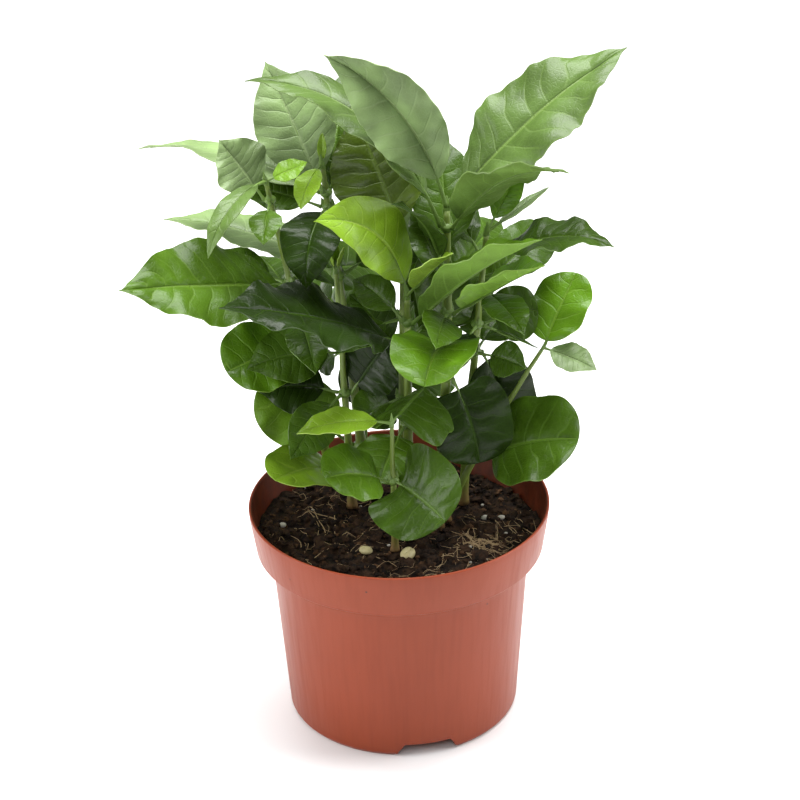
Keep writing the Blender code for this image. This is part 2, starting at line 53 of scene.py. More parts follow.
# Lights: place, aim, size and power
LIGHTS = {"overhead": ((0.05, 0.2, 1.1), (0, 0, 0.15), (0.9, 0.7), 25.0),
          "left_side": ((-1.15, -0.3, 0.6), (0, 0, 0.1), (0.7, 1.0), 13.0),
          "right_side": ((1.15, 0.05, 0.6), (0, 0, 0.1), (0.7, 1.0), 13.0),
          "front_fill": ((-0.15, -1.25, 1.2), (0, 0, 0.12), (0.8, 0.5), 5.0)}

# Pot
POT_HEIGHT = 0.0913
RIM_RADIUS = 0.06
COLLAR_FOOT_RADIUS = 0.0576
COLLAR_DROP = 0.0184
SHOULDER_RADIUS = 0.0519
FOOT_RADIUS = 0.0465
WALL = 0.0012
LIP = 0.0004
FLOOR_TOP = 0.0062
FOOT_RING_WIDTH = 0.0026
PAD_RADIUS = 0.008
POT_ROUND = 192
NOTCH_WIDTH = 0.0235
NOTCH_HEIGHT = 0.0058
NOTCH_TURN = -78.5
NOTCHES = 3
EDGE_ROUNDING = 0.00028

# Soil
GAP = 0.0003
SOIL_TOP = 0.08
SOIL_ROUND = 168
SOIL_RINGS = 58
SOIL_RADIUS = 0.057
ROUGH_DEPTH = 0.003
LUMP_DEPTH = 0.0011
HOLLOW_PLACE = (0.043, 0.03)
HOLLOW_DEPTH = 0.0065
HOLLOW_REACH = 0.026
STEP_RADIUS = 0.043
CRUMB_REACH = 0.0548
FIBRE_REACH = 0.0556
GRAIN_REACH = 0.054
DARK_CRUMBS = 1500
BROWN_CRUMBS = 900
FIBRE_STEPS = 9
LONG_FIBRES = 7
TANGLED_FIBRES = 80
LOOSE_FIBRES = 150
GRAINS = 26

# Leaves and stems, grown by the same rule as the solids
STALK_RADIUS = 0.0009
COLLAR_TUBE = 0.0009
ROOT_FLARE = 1.35
CLEARANCE = 0.0012
TURN_STEPS = (0, 8, -8, 16, -16, 26, -26, 38, -38, 52, -52)
RISE_STEPS = (0, 10, -10, 20, -20, 32, -32, 44)
SIZE_STEPS = (1.0, 0.85, 0.72, 0.6)
SHELL_COLUMNS = 6

# Fine form of a leaf
LEAF_THICKNESS = 0.0004
HUSK_THICKNESS = 0.00035
LEAF_ROWS = 66
LEAF_COLUMNS = 30
SEED_ROWS = 44
SEED_COLUMNS = 28
LEAF_VEINS = 9.0
SEED_VEINS = 5.0
VEIN_SWEEP = 0.17
SMALL_LEAF = 0.03
SCALLOP = 0.006


def leaf(azimuth, rise, length, width=0.46, droop=35, **more):
    """A true leaf: width is a share of the length, angles in degrees."""
    row = dict(kind="leaf", azimuth=azimuth, rise=rise, length=length, width=width * length,
               droop=droop, swing=0, roll=0, twist=0, fold=14, cup=0.15, wave=0.03, waves=3.0,
               phase=0.0, stalk=0.006, lobe=0.0, finds_room=False)
    row.update(more)
    return row


def seed(azimuth, rise, length, width=0.86, droop=30, **more):
    """A rounded seed leaf, the lowest pair of a seedling."""
    more.setdefault("waves", 2.5)
    more.setdefault("stalk", 0.005)
    more.setdefault("lobe", 0.1)
    return leaf(azimuth, rise, length, width, droop, kind="seed", **more)


def tier(share, *leaves):
    return dict(share=share, leaves=leaves)


def plant(foot, lean, height, thick, bow=0.0, **tiers):
    return dict(foot=foot, lean=lean, height=height, thick=thick, bow=bow, tiers=tiers)


ROOM = dict(finds_room=True)
SEEDLINGS = {
    "front": plant(
        foot=(-0.002, -0.02), lean=(0.0, 0.0), height=0.055, thick=0.003,
        seed=tier(0.57, seed(-46, -7, 0.027, 1.36, 20, roll=-46, lobe=0.8, stalk=0.002),
                  seed(-152, 36, 0.029, 0.95, 40, roll=25)),
        top=tier(1.0, leaf(-164, 18, 0.038, 0.42, 35, roll=8),
                 seed(52, 26, 0.022, 1.7, 20, fold=-26, roll=4, lobe=0.5, stalk=0.003))),
    "middle": plant(
        foot=(0.004, 0.005), lean=(0.001, -0.002), height=0.098, thick=0.0048,
        seed=tier(0.44, seed(-121, -26, 0.025, 1.1, 30, lobe=0.0),
                  seed(80, 10, 0.034, roll=-30, **ROOM)),
        first=tier(0.81, leaf(-149, 33, 0.086, 0.48, 18, roll=15, wave=0.06),
                   leaf(36, 25, 0.06, roll=-35, **ROOM)),
        second=tier(0.9, leaf(-37, 48, 0.078, 0.3, 18, fold=50, wave=0.05),
                    leaf(140, 30, 0.05, roll=35, **ROOM)),
        top=tier(1.0, leaf(-156, 83, 0.059, 0.46, 85, roll=58),
                 leaf(-46, 50, 0.036, 0.44, 10, fold=30))),
    "tall": plant(
        foot=(0.015, -0.003), lean=(0.006, 0.012), bow=0.002, height=0.132, thick=0.0048,
        low=tier(0.49, seed(-37, -58, 0.036, 0.92, 26, roll=-36, lobe=0.3),
                 seed(120, 0, 0.03, roll=35, **ROOM)),
        seed=tier(0.6, seed(-104, 26, 0.038, 0.92, 60, fold=24, lobe=0.3),
                  seed(80, 20, 0.034, roll=-30, **ROOM)),
        first=tier(0.69, leaf(-39, 41, 0.054, 0.55, 10, fold=30),
                   leaf(-150, 40, 0.036, roll=30, **ROOM)),
        inner=tier(0.76, leaf(40, 20, 0.056, roll=-35, **ROOM), leaf(120, 60, 0.034, **ROOM)),
        second=tier(0.83, leaf(-150, 50, 0.04, 0.5, 60, **ROOM), leaf(100, 60, 0.056, **ROOM)),
        third=tier(0.95, leaf(-42, 57, 0.07, 0.42, 54, roll=22, wave=0.05),
                   leaf(163, 69, 0.101, 0.26, 80, roll=8, wave=0.05, stalk=0.014)),
        top=tier(1.0, leaf(180, 76, 0.079, 0.4, 50, roll=88, fold=32, wave=0.05, stalk=0.012),
                 leaf(18, 46, 0.091, 0.46, 22, roll=-17, wave=0.045, stalk=0.01))),
    "rear_left": plant(
        foot=(-0.013, 0.022), lean=(-0.013, -0.002), height=0.146, thick=0.0044,
        seed=tier(0.17, seed(182, 40, 0.046, 0.66, 12, roll=66, stalk=0.012),
                  seed(64, 76, 0.043, 0.64, 10, stalk=0.014)),
        first=tier(0.69, leaf(143, 20, 0.074, 0.37, 20, swing=34),
                   leaf(25, 25, 0.05, roll=-35, **ROOM)),
        inner=tier(0.46, leaf(100, 15, 0.055, roll=40, **ROOM),
                   leaf(-170, 5, 0.04, 0.6, roll=45, **ROOM),
                   leaf(-178, -8, 0.03, 0.6, 15, roll=62, **ROOM)),
        second=tier(0.89, leaf(-105, 16, 0.043, 0.54, 115), leaf(80, 35, 0.06, **ROOM),
                    leaf(170, 30, 0.034, 0.5, 20, roll=30, **ROOM)),
        third=tier(0.93, leaf(157, 23, 0.08, 0.34, 40, roll=14, twist=-40),
                   leaf(129, 55, 0.055, 0.56, 5, roll=30)),
        top=tier(1.0, leaf(-122, -13, 0.021, 0.5, 60, stalk=0.003),
                 leaf(82, 76, 0.012, 0.26, 0, fold=30, stalk=0.002))),
    "rear": plant(
        foot=(0.002, 0.023), lean=(0.002, -0.01), height=0.118, thick=0.0044,
        seed=tier(0.4, seed(70, 20, 0.036, roll=-35, **ROOM), seed(-150, 20, 0.036, roll=40, **ROOM)),
        inner=tier(0.56, leaf(-165, 12, 0.052, 0.6, roll=45, **ROOM),
                   leaf(15, 15, 0.055, roll=-45, **ROOM)),
        first=tier(0.71, leaf(60, 25, 0.066, roll=-35, **ROOM), leaf(-120, 35, 0.042, roll=20, **ROOM)),
        second=tier(0.86, leaf(114, 59, 0.08, 0.34, 20), leaf(-165, 60, 0.042, **ROOM)),
        top=tier(1.0, leaf(124, 57, 0.054, 0.7, 10, roll=34), leaf(-20, 50, 0.04, **ROOM))),
    "slim": plant(
        foot=(-0.019, 0.015), lean=(-0.003, -0.004), height=0.106, thick=0.0036,
        seed=tier(0.16, seed(-130, 36, 0.045, 0.66, 36, roll=12),
                  seed(50, 25, 0.034, roll=-30, **ROOM)),
        first=tier(0.5, leaf(165, 15, 0.038, 0.74, 40, roll=40, **ROOM),
                   seed(-15, 60, 0.026, 1.05, 5, roll=-72, lobe=0.0),
                   leaf(-170, -20, 0.034, 0.55, 20, roll=50, **ROOM)),
        top=tier(1.0, leaf(-160, 64, 0.013, 0.28, -20, fold=30, stalk=0.002),
                 leaf(-30, 58, 0.011, 0.3, -30, fold=30, stalk=0.002),
                 leaf(90, 80, 0.012, 0.26, 0, fold=30, stalk=0.002))),
    "left": plant(
        foot=(-0.029, 0.042), lean=(-0.018, -0.034), height=0.145, thick=0.0036,
        seed=tier(0.46, seed(-156, 2, 0.031, 1.02, 20, roll=35), seed(75, 40, 0.04, roll=50, **ROOM)),
        first=tier(0.68, leaf(-149, 15, 0.072, 0.56, 5, roll=33, wave=0.045, stalk=0.003),
                   leaf(35, 30, 0.055, roll=-35, **ROOM),
                   leaf(165, 35, 0.036, 0.5, 20, roll=35, **ROOM)),
        inner=tier(0.58, leaf(110, 20, 0.045, **ROOM), leaf(-70, 0, 0.036, **ROOM)),
        second=tier(0.95, leaf(172, 58, 0.029, 0.88, 5, roll=36), leaf(-95, 0, 0.024, 0.5, 40)),
        top=tier(1.0, leaf(-121, 9, 0.046, 0.22, 70),
                 leaf(9, 22, 0.017, 0.54, 0, roll=-30, stalk=0.003))),
    "right": plant(
        foot=(0.026, 0.016), lean=(0.01, -0.004), height=0.12, thick=0.004,
        seed=tier(0.58, seed(12, -65, 0.042, 0.66, 20, roll=-80), seed(60, 20, 0.036, **ROOM),
                  leaf(8, 2, 0.04, 0.6, 20, roll=-50, **ROOM),
                  leaf(178, -22, 0.028, 0.6, 15, roll=60, **ROOM)),
        first=tier(0.68, seed(12, 17, 0.022, 0.98, 20, roll=-60), leaf(-136, 10, 0.034, 0.4, **ROOM),
                   leaf(-29, -7, 0.024, 0.34, 10, roll=35)),
        inner=tier(0.81, leaf(95, 30, 0.046, roll=-35, **ROOM), leaf(-105, 20, 0.036, **ROOM)),
        second=tier(0.92, leaf(-17, 37, 0.052, 0.48, 58, roll=-6, wave=0.06),
                    leaf(150, 40, 0.05, 0.44, 40, **ROOM)),
        top=tier(1.0, leaf(43, 49, 0.03, 0.36, 0, roll=-45), leaf(27, 25, 0.03, 0.17, 0))),
    "outer": plant(
        foot=(0.019, 0.002), lean=(0.038, 0.006), height=0.072, thick=0.0032,
        seed=tier(0.4, seed(-19, 33, 0.042, 0.98, 30, roll=-30), seed(150, 15, 0.034, **ROOM)),
        top=tier(1.0, seed(55, 47, 0.033, 0.76, 10, lobe=0.0, stalk=0.003),
                 leaf(-27, -9, 0.023, 0.6, 10, roll=-20, stalk=0.003))),
}


def ease(share):
    share = np.clip(share, 0, 1)
    return share * share * (3 - 2 * share)


def stem_point(seedling, share):
    foot, lean = seedling["foot"], seedling["lean"]
    rise = seedling["height"] * share
    upright = 0.002 / seedling["height"]
    away = max(0.0, share - upright) / (1 - upright)
    return np.array([foot[0] + lean[0] * away ** 1.15 + seedling["bow"] * sin(pi * away),
                     foot[1] + lean[1] * away ** 1.15, SOIL_TOP + GAP + rise])


def stem_radius(seedling, share):
    flare = 1 + (ROOT_FLARE - 1) * max(0.0, 1 - share / 0.08) ** 2
    return seedling["thick"] / 2 * (1 - 0.5 * share) * flare


def stem_axis(seedling, share):
    ahead = stem_point(seedling, min(1.0, share + 0.02)) - stem_point(seedling, max(0.0, share - 0.02))
    return ahead / np.linalg.norm(ahead)


def collar_radius(seedling, share):
    return stem_radius(seedling, share) + GAP + 0.00008 + COLLAR_TUBE


def leaf_foot(seedling, level, row):
    """Where a leaf's stalk starts: on the collar round the stem, or on the bud above its tip."""
    node = stem_point(seedling, level["share"])
    turn = radians(row["azimuth"])
    out = np.array([cos(turn), sin(turn), 0.0])
    if level["share"] == 1.0:
        return node + stem_axis(seedling, 1.0) * (GAP + 0.0012) + out * 0.0002
    axis = stem_axis(seedling, level["share"])
    out = out - axis * (out @ axis)
    return node + out / np.linalg.norm(out) * collar_radius(seedling, level["share"])


def midrib(foot, row, count=60):
    """Points, tangents, sideways and upward directions down a leaf from its foot to its tip."""
    along = np.linspace(0, 1, count)
    rise = np.radians(row["rise"] - row["droop"] * along ** 1.3)
    turn = np.radians(row["azimuth"] + row["swing"] * along)
    ahead = np.stack([np.cos(rise) * np.cos(turn), np.cos(rise) * np.sin(turn), np.sin(rise)], 1)
    steps = (ahead[1:] + ahead[:-1]) / 2 * row["length"] / (count - 1)
    points = foot + np.vstack([np.zeros(3), np.cumsum(steps, axis=0)])
    side = np.stack([np.sin(turn), -np.cos(turn), 0 * turn], 1)
    up = np.cross(side, ahead)
    roll = np.radians(row["roll"] + row["twist"] * along)[:, None]
    return along, points, side * np.cos(roll) + up * np.sin(roll), up * np.cos(roll) - side * np.sin(roll)


def half_width(row, share):
    """Half the blade's width from its base (0) to its tip (1)."""
    share = np.clip(share, 0, 1)
    half = row["width"] / 2
    if row["kind"] == "seed":
        return half * np.sqrt(np.clip(1 - np.abs(2 * share - 1) ** 2.3, 0, 1)) + 0.0005
    belly = np.sin(pi * share ** 0.82) ** 0.95
    return half * belly * (1 - 0.38 * ease((share - 0.74) / 0.26)) + 0.0005


def blade_points(foot, row, share, across):
    """Points at shares of a blade's length and places across it (-1 to 1); -1 to 0 is its stalk."""
    along, points, side, up = midrib(foot, row)
    start = row["stalk"] / row["length"]
    half = np.where(share < 0, STALK_RADIUS, half_width(row, share))
    reach = np.abs(across)
    wide = 2 * half * reach / row["width"]
    place = np.where(share < 0, start * (1 + share), start + share * (1 - start))
    place = place - np.where(share < 0, 0.0, row["lobe"] * wide ** 2 * (1 - share) ** 2)
    behind = np.minimum(place, 0.0)[:, None] * (points[1] - points[0]) / along[1]

    def at(rows):
        return np.stack([np.interp(place, along, rows[:, k]) for k in range(3)], 1)

    fold = radians(row["fold"])
    ripple = np.sin(2 * pi * row["waves"] * share + row["phase"] + np.where(across < 0, 1.9, 0.0))
    ripple = ripple * ease(share * 5) * ease((1 - share) * 4)
    lift = half * reach * sin(fold) - half * reach ** 2 * row["cup"]
    lift = lift + row["wave"] * row["width"] * reach ** 1.6 * ripple
    middle = at(points) + behind
    return middle + at(side) * (half * across * cos(fold))[:, None] + at(up) * lift[:, None], at(up)


def leaf_shell(foot, row):
    """A coarse closed shell round a leaf and its stalk, for finding what it would touch."""
    shares = np.concatenate([[-1.0, -0.5], np.linspace(0, 1, 15)])
    share, across = np.meshgrid(shares, np.linspace(-1, 1, SHELL_COLUMNS + 1), indexing="ij")
    points, up = blade_points(foot, row, share.ravel(), across.ravel())
    count = len(points)
    corners = np.vstack([points + up * CLEARANCE, points - up * CLEARANCE])
    grid = np.arange(count).reshape(share.shape)
    a, b, c, d = (part.ravel() for part in (grid[:-1, :-1], grid[1:, :-1], grid[1:, 1:], grid[:-1, 1:]))
    rim = np.concatenate([grid[0], grid[1:, -1], grid[-1, -2::-1], grid[-2:0:-1, 0]])
    after = np.roll(rim, -1)
    faces = np.hstack([(a, b, c, d), (a + count, d + count, c + count, b + count),
                       (rim, after, after + count, rim + count)]).T
    return BVHTree.FromPolygons(corners.tolist(), faces.tolist())


def stem_shell(seedling):
    """A six-sided tube round a stem with the clearance added."""
    corners, faces = [], []
    for ring, share in enumerate(np.linspace(0, 1, 15)):
        centre, radius = stem_point(seedling, share), stem_radius(seedling, share) + CLEARANCE
        corners += [centre + radius * np.array([cos(k * pi / 3), sin(k * pi / 3), 0]) for k in range(6)]
        if ring:
            last = ring * 6 - 6
            faces += [(last + k, last + (k + 1) % 6, last + 6 + (k + 1) % 6, last + 6 + k)
                      for k in range(6)]
    return BVHTree.FromPolygons(corners, faces)


def grow_leaves():
    """Sets every leaf; one that finds its own room turns, lifts or shrinks until it clears the rest."""
    stems = {name: stem_shell(seedling) for name, seedling in SEEDLINGS.items()}
    standing, grown = [], {}
    order = [(name, level_name, number) for name, seedling in SEEDLINGS.items()
             for level_name, level in seedling["tiers"].items() for number in range(len(level["leaves"]))]
    order.sort(key=lambda place: SEEDLINGS[place[0]]["tiers"][place[1]]["leaves"][place[2]]["finds_room"])
    tries = sorted(((abs(turn) + abs(rise) * 0.8 + (1 - size) * 90, turn, rise, size)
                    for turn in TURN_STEPS for rise in RISE_STEPS for size in SIZE_STEPS))
    for name, level_name, number in order:
        seedling = SEEDLINGS[name]
        level = seedling["tiers"][level_name]
        asked = level["leaves"][number]
        for _, turn, rise, size in (tries if asked["finds_room"] else tries[:1]):
            row = dict(asked, azimuth=asked["azimuth"] + turn, rise=asked["rise"] + rise,
                       length=asked["length"] * size, width=asked["width"] * size)
            foot = leaf_foot(seedling, level, row)
            shell = leaf_shell(foot, row)
            clear = True
            if asked["finds_room"]:
                others = standing + [stem for key, stem in stems.items() if key != name]
                clear = not any(shell.overlap(other) for other in others)
            if clear:
                standing.append(shell)
                grown[name, level_name, number] = (foot, row)
                break
    return grown


# Looks of the leaves of each tier that shows: tone, quilting between the veins, ruffle of the edge
LOOKS = {
    "front_seed": (("deep", 0.012, 0.005), ("mid", 0.0081, 0.006)),
    "front_top": (("lime", 0.0045, 0.007), ("deep", 0.0072, 0.006)),
    "middle_seed": (("mid", 0.0081, 0.006),),
    "middle_first": (("dark", 0.008, 0.018),),
    "middle_second": (("mid", 0.012, 0.013),),
    "middle_top": (("lime", 0.0036, 0.004), ("lime", 0.0054, 0.006)),
    "tall_low": (("dark", 0.012, 0.0065),),
    "tall_seed": (("bright", 0.0072, 0.005),),
    "tall_first": (("bright", 0.009, 0.008),),
    "tall_second": (("dark", 0.0108, 0.01),),
    "tall_third": (("soft", 0.014, 0.013), ("soft", 0.0125, 0.015)),
    "tall_top": (("pale", 0.014, 0.018), ("soft", 0.014, 0.015)),
    "rear_left_seed": (("fresh", 0.011, 0.007), ("dark", 0.009, 0.007)),
    "rear_left_first": (("pale", 0.0108, 0.011),),
    "rear_left_second": (("dark", 0.0099, 0.009),),
    "rear_left_third": (("pale", 0.0063, 0.008), ("pale", 0.015, 0.011)),
    "rear_left_top": (("lime", 0.0045, 0.004), ("lime", 0.0027, 0.003)),
    "rear_second": (("pale", 0.0108, 0.008),),
    "rear_top": (("olive", 0.0135, 0.012),),
    "slim_seed": (("lime", 0.013, 0.006),),
    "slim_first": (("dark", 0.0081, 0.006), ("dark", 0.0081, 0.005)),
    "slim_top": (("lime", 0.0027, 0.003), ("lime", 0.0027, 0.003), ("lime", 0.0027, 0.003)),
    "left_seed": (("bright", 0.009, 0.008),),
    "left_first": (("mid", 0.019, 0.015),),
    "left_second": (("pale", 0.0126, 0.009), ("mid", 0.009, 0.007)),
    "left_top": (("soft", 0.0099, 0.008), ("fresh", 0.0063, 0.005)),
    "right_seed": (("dark", 0.0081, 0.006),),
    "right_first": (("deep", 0.009, 0.007), ("dark", 0.008, 0.006), ("dark", 0.006, 0.006)),
    "right_second": (("deep", 0.0145, 0.011),),
    "right_top": (("bright", 0.0099, 0.007), ("pale", 0.0081, 0.005)),
    "outer_seed": (("deep", 0.0125, 0.0065),),
    "outer_top": (("bright", 0.0099, 0.005), ("pale", 0.0081, 0.006)),
}
HIDDEN_LOOK = ("deep", 0.0099, 0.008)

# Tone: colours of the upper face, its veins and the underside; the upper face's roughness and shine
TONES = {
    "lime": ((0.195, 0.345, 0.014), (0.3, 0.45, 0.055), (0.25, 0.4, 0.045), 0.38, 0.26),
    "fresh": ((0.135, 0.27, 0.01), (0.25, 0.4, 0.055), (0.2, 0.34, 0.05), 0.36, 0.26),
    "bright": ((0.094, 0.215, 0.004), (0.19, 0.33, 0.035), (0.14, 0.26, 0.03), 0.3, 0.26),
    "mid": ((0.064, 0.14, 0.004), (0.145, 0.255, 0.03), (0.11, 0.2, 0.028), 0.32, 0.17),
    "deep": ((0.04, 0.088, 0.003), (0.1, 0.185, 0.022), (0.085, 0.155, 0.022), 0.28, 0.16),
    "dark": ((0.012, 0.029, 0.001), (0.03, 0.066, 0.004), (0.042, 0.084, 0.008), 0.26, 0.12),
    # Painted sheen: the pale tone's greyed, light colours stand for the soft light reflected off
    # upward-facing leaves.
    "pale": ((0.185, 0.275, 0.1), (0.28, 0.375, 0.165), (0.195, 0.29, 0.095), 0.38, 0.26),
    # Painted sheen, milder: the soft tone's greyed green stands for the same reflected light.
    "soft": ((0.064, 0.116, 0.018), (0.13, 0.205, 0.045), (0.11, 0.19, 0.034), 0.36, 0.26),
    "olive": ((0.07, 0.116, 0.007), (0.13, 0.2, 0.03), (0.15, 0.29, 0.035), 0.32, 0.2),
}
UNDER_GLOSS = 0.5
UNDER_SHINE = 0.15


def look_of(name, level_name, number):
    looks = LOOKS.get(f"{name}_{level_name}", ())
    return looks[number] if number < len(looks) else HIDDEN_LOOK


# Shader helpers

def new_finish(name):
    """A new material, its tree, its shader and the place on the object."""
    made = bpy.data.materials.new(name)
    made.use_nodes = True
    tree = made.node_tree
    return made, tree, tree.nodes["Principled BSDF"], object_place(tree)


def feed(tree, socket, value):
    if isinstance(value, bpy.types.NodeSocket):
        tree.links.new(value, socket)
    else:
        socket.default_value = value


def fill(tree, node, **values):
    """Feeds a node's inputs by their names, with _ for a space."""
    for name, value in values.items():
        feed(tree, node.inputs[name.replace("_", " ")], value)


def added(tree, kind, **values):
    """A new node with its inputs fed."""
    made = tree.nodes.new("ShaderNode" + kind)
    fill(tree, made, **values)
    return made


def calc(tree, operation, first, second=0.0):
    step = added(tree, "Math")
    step.operation = operation
    feed(tree, step.inputs[0], first)
    feed(tree, step.inputs[1], second)
    return step.outputs[0]


def times(tree, first, second):
    return calc(tree, "MULTIPLY", first, second)


def plus(tree, first, second):
    return calc(tree, "ADD", first, second)


def fade(tree, value, low, high, start=0.0, end=1.0):
    """Goes smoothly from start to end while value goes from low to high."""
    step = added(tree, "MapRange", Value=value, From_Min=low, From_Max=high, To_Min=start, To_Max=end)
    step.interpolation_type = "SMOOTHSTEP"
    return step.outputs["Result"]


def blend_colour(tree, share, first, second):
    step = added(tree, "Mix")
    step.data_type = "RGBA"
    feed(tree, step.inputs[0], share)
    for socket, colour in ((step.inputs[6], first), (step.inputs[7], second)):
        feed(tree, socket, colour if isinstance(colour, bpy.types.NodeSocket) else (*colour, 1.0))
    return step.outputs[2]


def object_place(tree, stretch=(1.0, 1.0, 1.0)):
    place = added(tree, "TexCoord").outputs["Object"]
    return added(tree, "Mapping", Vector=place, Scale=stretch).outputs["Vector"]


def clouds(tree, place, scale, detail=3.0, roughness=0.55):
    made = added(tree, "TexNoise", Vector=place, Scale=scale, Detail=detail, Roughness=roughness)
    return made.outputs["Fac"]


def cells(tree, place, scale, feature="DISTANCE_TO_EDGE"):
    made = added(tree, "TexVoronoi", Vector=place, Scale=scale)
    made.feature = feature
    return made.outputs["Distance"]


def raise_relief(tree, shader, height, depth, strength=1.0):
    bump = added(tree, "Bump", Height=height, Distance=depth, Strength=strength)
    fill(tree, shader, Normal=bump.outputs["Normal"])


def uv_parts(tree, layer):
    place = added(tree, "UVMap")
    place.uv_map = layer
    split = added(tree, "SeparateXYZ", Vector=place.outputs["UV"])
    return split.outputs["X"], split.outputs["Y"]


# Finishes

def leaf_finish(name, blade, vein, gloss, shine):
    """A blade's skin: veins laid by its own coordinates, patches of tone, a net between the veins and a
    painted highlight along its edge.
    """
    made, tree, shader, place = new_finish(name)
    underside = name.endswith("_under")
    across, along = uv_parts(tree, "blade")
    turn, chance = uv_parts(tree, "veins")
    reach = calc(tree, "ABSOLUTE", calc(tree, "SUBTRACT", times(tree, across, 2.0), 1.0))
    other_side = calc(tree, "GREATER_THAN", across, 0.5)
    near = calc(tree, "PINGPONG", plus(tree, turn, times(tree, other_side, 0.5)), 0.5)
    side_vein = times(tree, fade(tree, near, 0.015, 0.085, 1.0, 0.0),
                      fade(tree, reach, 0.55, 0.98, 1.0, 0.15))
    midrib_edge = calc(tree, "SUBTRACT", 0.085, times(tree, along, 0.05))
    midrib_mark = fade(tree, reach, times(tree, midrib_edge, 0.35), midrib_edge, 1.0, 0.0)
    net_line = fade(tree, cells(tree, place, 520.0), 0.0, 0.16, 1.0, 0.0)
    patches = fade(tree, clouds(tree, place, 55.0, 2.0), 0.35, 0.68)
    darker = tuple(channel * 0.72 for channel in blade)
    lighter = tuple(min(1.0, channel * 1.22 + 0.004) for channel in blade)
    skin = blend_colour(tree, patches, darker, lighter)
    for mark, strength in ((net_line, 0.1), (side_vein, 0.3), (midrib_mark, 0.72)):
        skin = blend_colour(tree, times(tree, mark, strength), skin, vein)
    # Painted highlight: the blade's outer edge is lightened towards the vein colour.
    skin = blend_colour(tree, fade(tree, reach, 0.965, 1.0, 0.0, 0.35), skin, vein)
    tone = added(tree, "HueSaturation", Color=skin, Value=fade(tree, chance, 0.0, 1.0, 0.84, 1.14))
    fine = clouds(tree, place, 900.0, 2.0)
    rough = plus(tree, gloss, times(tree, fine, 0.05))
    rough = plus(tree, rough, times(tree, side_vein, 0.08))
    deep = plus(tree, times(tree, side_vein, 0.55), times(tree, midrib_mark, 0.75))
    deep = plus(tree, deep, times(tree, net_line, 0.16))
    height = plus(tree, times(tree, deep, 1.0 if underside else -1.0), times(tree, fine, 0.03))
    raise_relief(tree, shader, height, 0.0003, 0.8)
    fill(tree, shader, Base_Color=tone.outputs["Color"], Roughness=rough, Specular_IOR_Level=shine,
         Coat_Weight=0.0 if underside else 0.1, Coat_Roughness=0.12)
    return made


# Finish of a blade's cut edge; it is given the lighter vein colour as a painted highlight along the edge.
def rim_finish(name, colour):
    made, tree, shader, place = new_finish(name)
    shade = blend_colour(tree, clouds(tree, place, 260.0), tuple(c * 0.8 for c in colour), colour)
    fill(tree, shader, Base_Color=shade, Roughness=0.45)
    return made


def stem_finish(name, young, woody, woody_from, green_from):
    """Green bark with fine streaks along it, brown and corky towards the soil."""
    made, tree, shader, place = new_finish(name)
    split = added(tree, "SeparateXYZ", Vector=place)
    streaks = clouds(tree, object_place(tree, (1.0, 1.0, 0.12)), 1400.0, 3.0)
    patches = clouds(tree, place, 160.0, 2.0)
    height = plus(tree, split.outputs["Z"], times(tree, patches, 0.01))
    green = blend_colour(tree, streaks, tuple(c * 0.75 for c in young), tuple(c * 1.2 for c in young))
    brown = blend_colour(tree, streaks, tuple(c * 0.6 for c in woody), tuple(c * 1.25 for c in woody))
    skin = blend_colour(tree, fade(tree, height, woody_from, green_from), brown, green)
    rough = fade(tree, height, woody_from, green_from, 0.75, 0.42)
    fill(tree, shader, Base_Color=skin, Roughness=rough)
    raise_relief(tree, shader, streaks, 0.00012, 0.6)
    return made


def plastic_finish(name, shade_strength):
    """Terracotta coloured moulded plastic: satin, clouded, with a few dark specks and drag marks, and
    painted shade laid on in dark clouds, its strength given by the second argument, for the pot's inside
    wall.
    """
    made, tree, shader, place = new_finish(name)
    clouded = clouds(tree, place, 28.0, 2.0)
    drag = clouds(tree, object_place(tree, (1.0, 1.0, 0.05)), 420.0, 2.0)
    skin = blend_colour(tree, clouded, (0.226, 0.036, 0.01), (0.258, 0.043, 0.012))
    skin = blend_colour(tree, fade(tree, drag, 0.35, 0.75, 0.0, 0.22), skin, (0.175, 0.029, 0.009))
    specks = times(tree, fade(tree, cells(tree, place, 150.0, "F1"), 0.05, 0.09, 1.0, 0.0),
                   fade(tree, clouds(tree, place, 60.0, 1.0), 0.6, 0.66))
    skin = blend_colour(tree, specks, skin, (0.06, 0.022, 0.012))
    # Painted shade: dark clouds that darken the inside wall, where shade falls within the pot.
    painted_shade = fade(tree, clouds(tree, place, 190.0, 4.0, 0.7), 0.3, 0.72, shade_strength * 0.6, shade_strength)
    skin = blend_colour(tree, painted_shade, skin, (0.045, 0.014, 0.008))
    fill(tree, shader, Base_Color=skin, Roughness=fade(tree, drag, 0.3, 0.8, 0.36, 0.48),
         Specular_IOR_Level=0.3)
    raise_relief(tree, shader, plus(tree, clouds(tree, place, 1500.0, 2.0), drag), 0.00006, 0.5)
    return made


def peat_finish(name, dark, brown, grain):
    made, tree, shader, place = new_finish(name)
    mixed = fade(tree, clouds(tree, place, grain, 4.0, 0.65), 0.38, 0.66)
    skin = blend_colour(tree, mixed, dark, brown)
    fill(tree, shader, Base_Color=skin, Roughness=0.92, Specular_IOR_Level=0.25)
    raise_relief(tree, shader, clouds(tree, place, grain * 5, 5.0, 0.7), 0.0009)
    return made


def dry_finish(name, pale, shaded, scale, roughness):
    """Dry matter such as a root fibre, a grain or a husk."""
    made, tree, shader, place = new_finish(name)
    skin = blend_colour(tree, clouds(tree, place, scale), shaded, pale)
    fill(tree, shader, Base_Color=skin, Roughness=roughness)
    raise_relief(tree, shader, clouds(tree, place, scale * 4), 0.0002, 0.6)
    return made


# Mesh helpers

def linked(name, data):
    """A new object in the scene."""
    made = bpy.data.objects.new(name, data)
    bpy.context.scene.collection.objects.link(made)
    return made


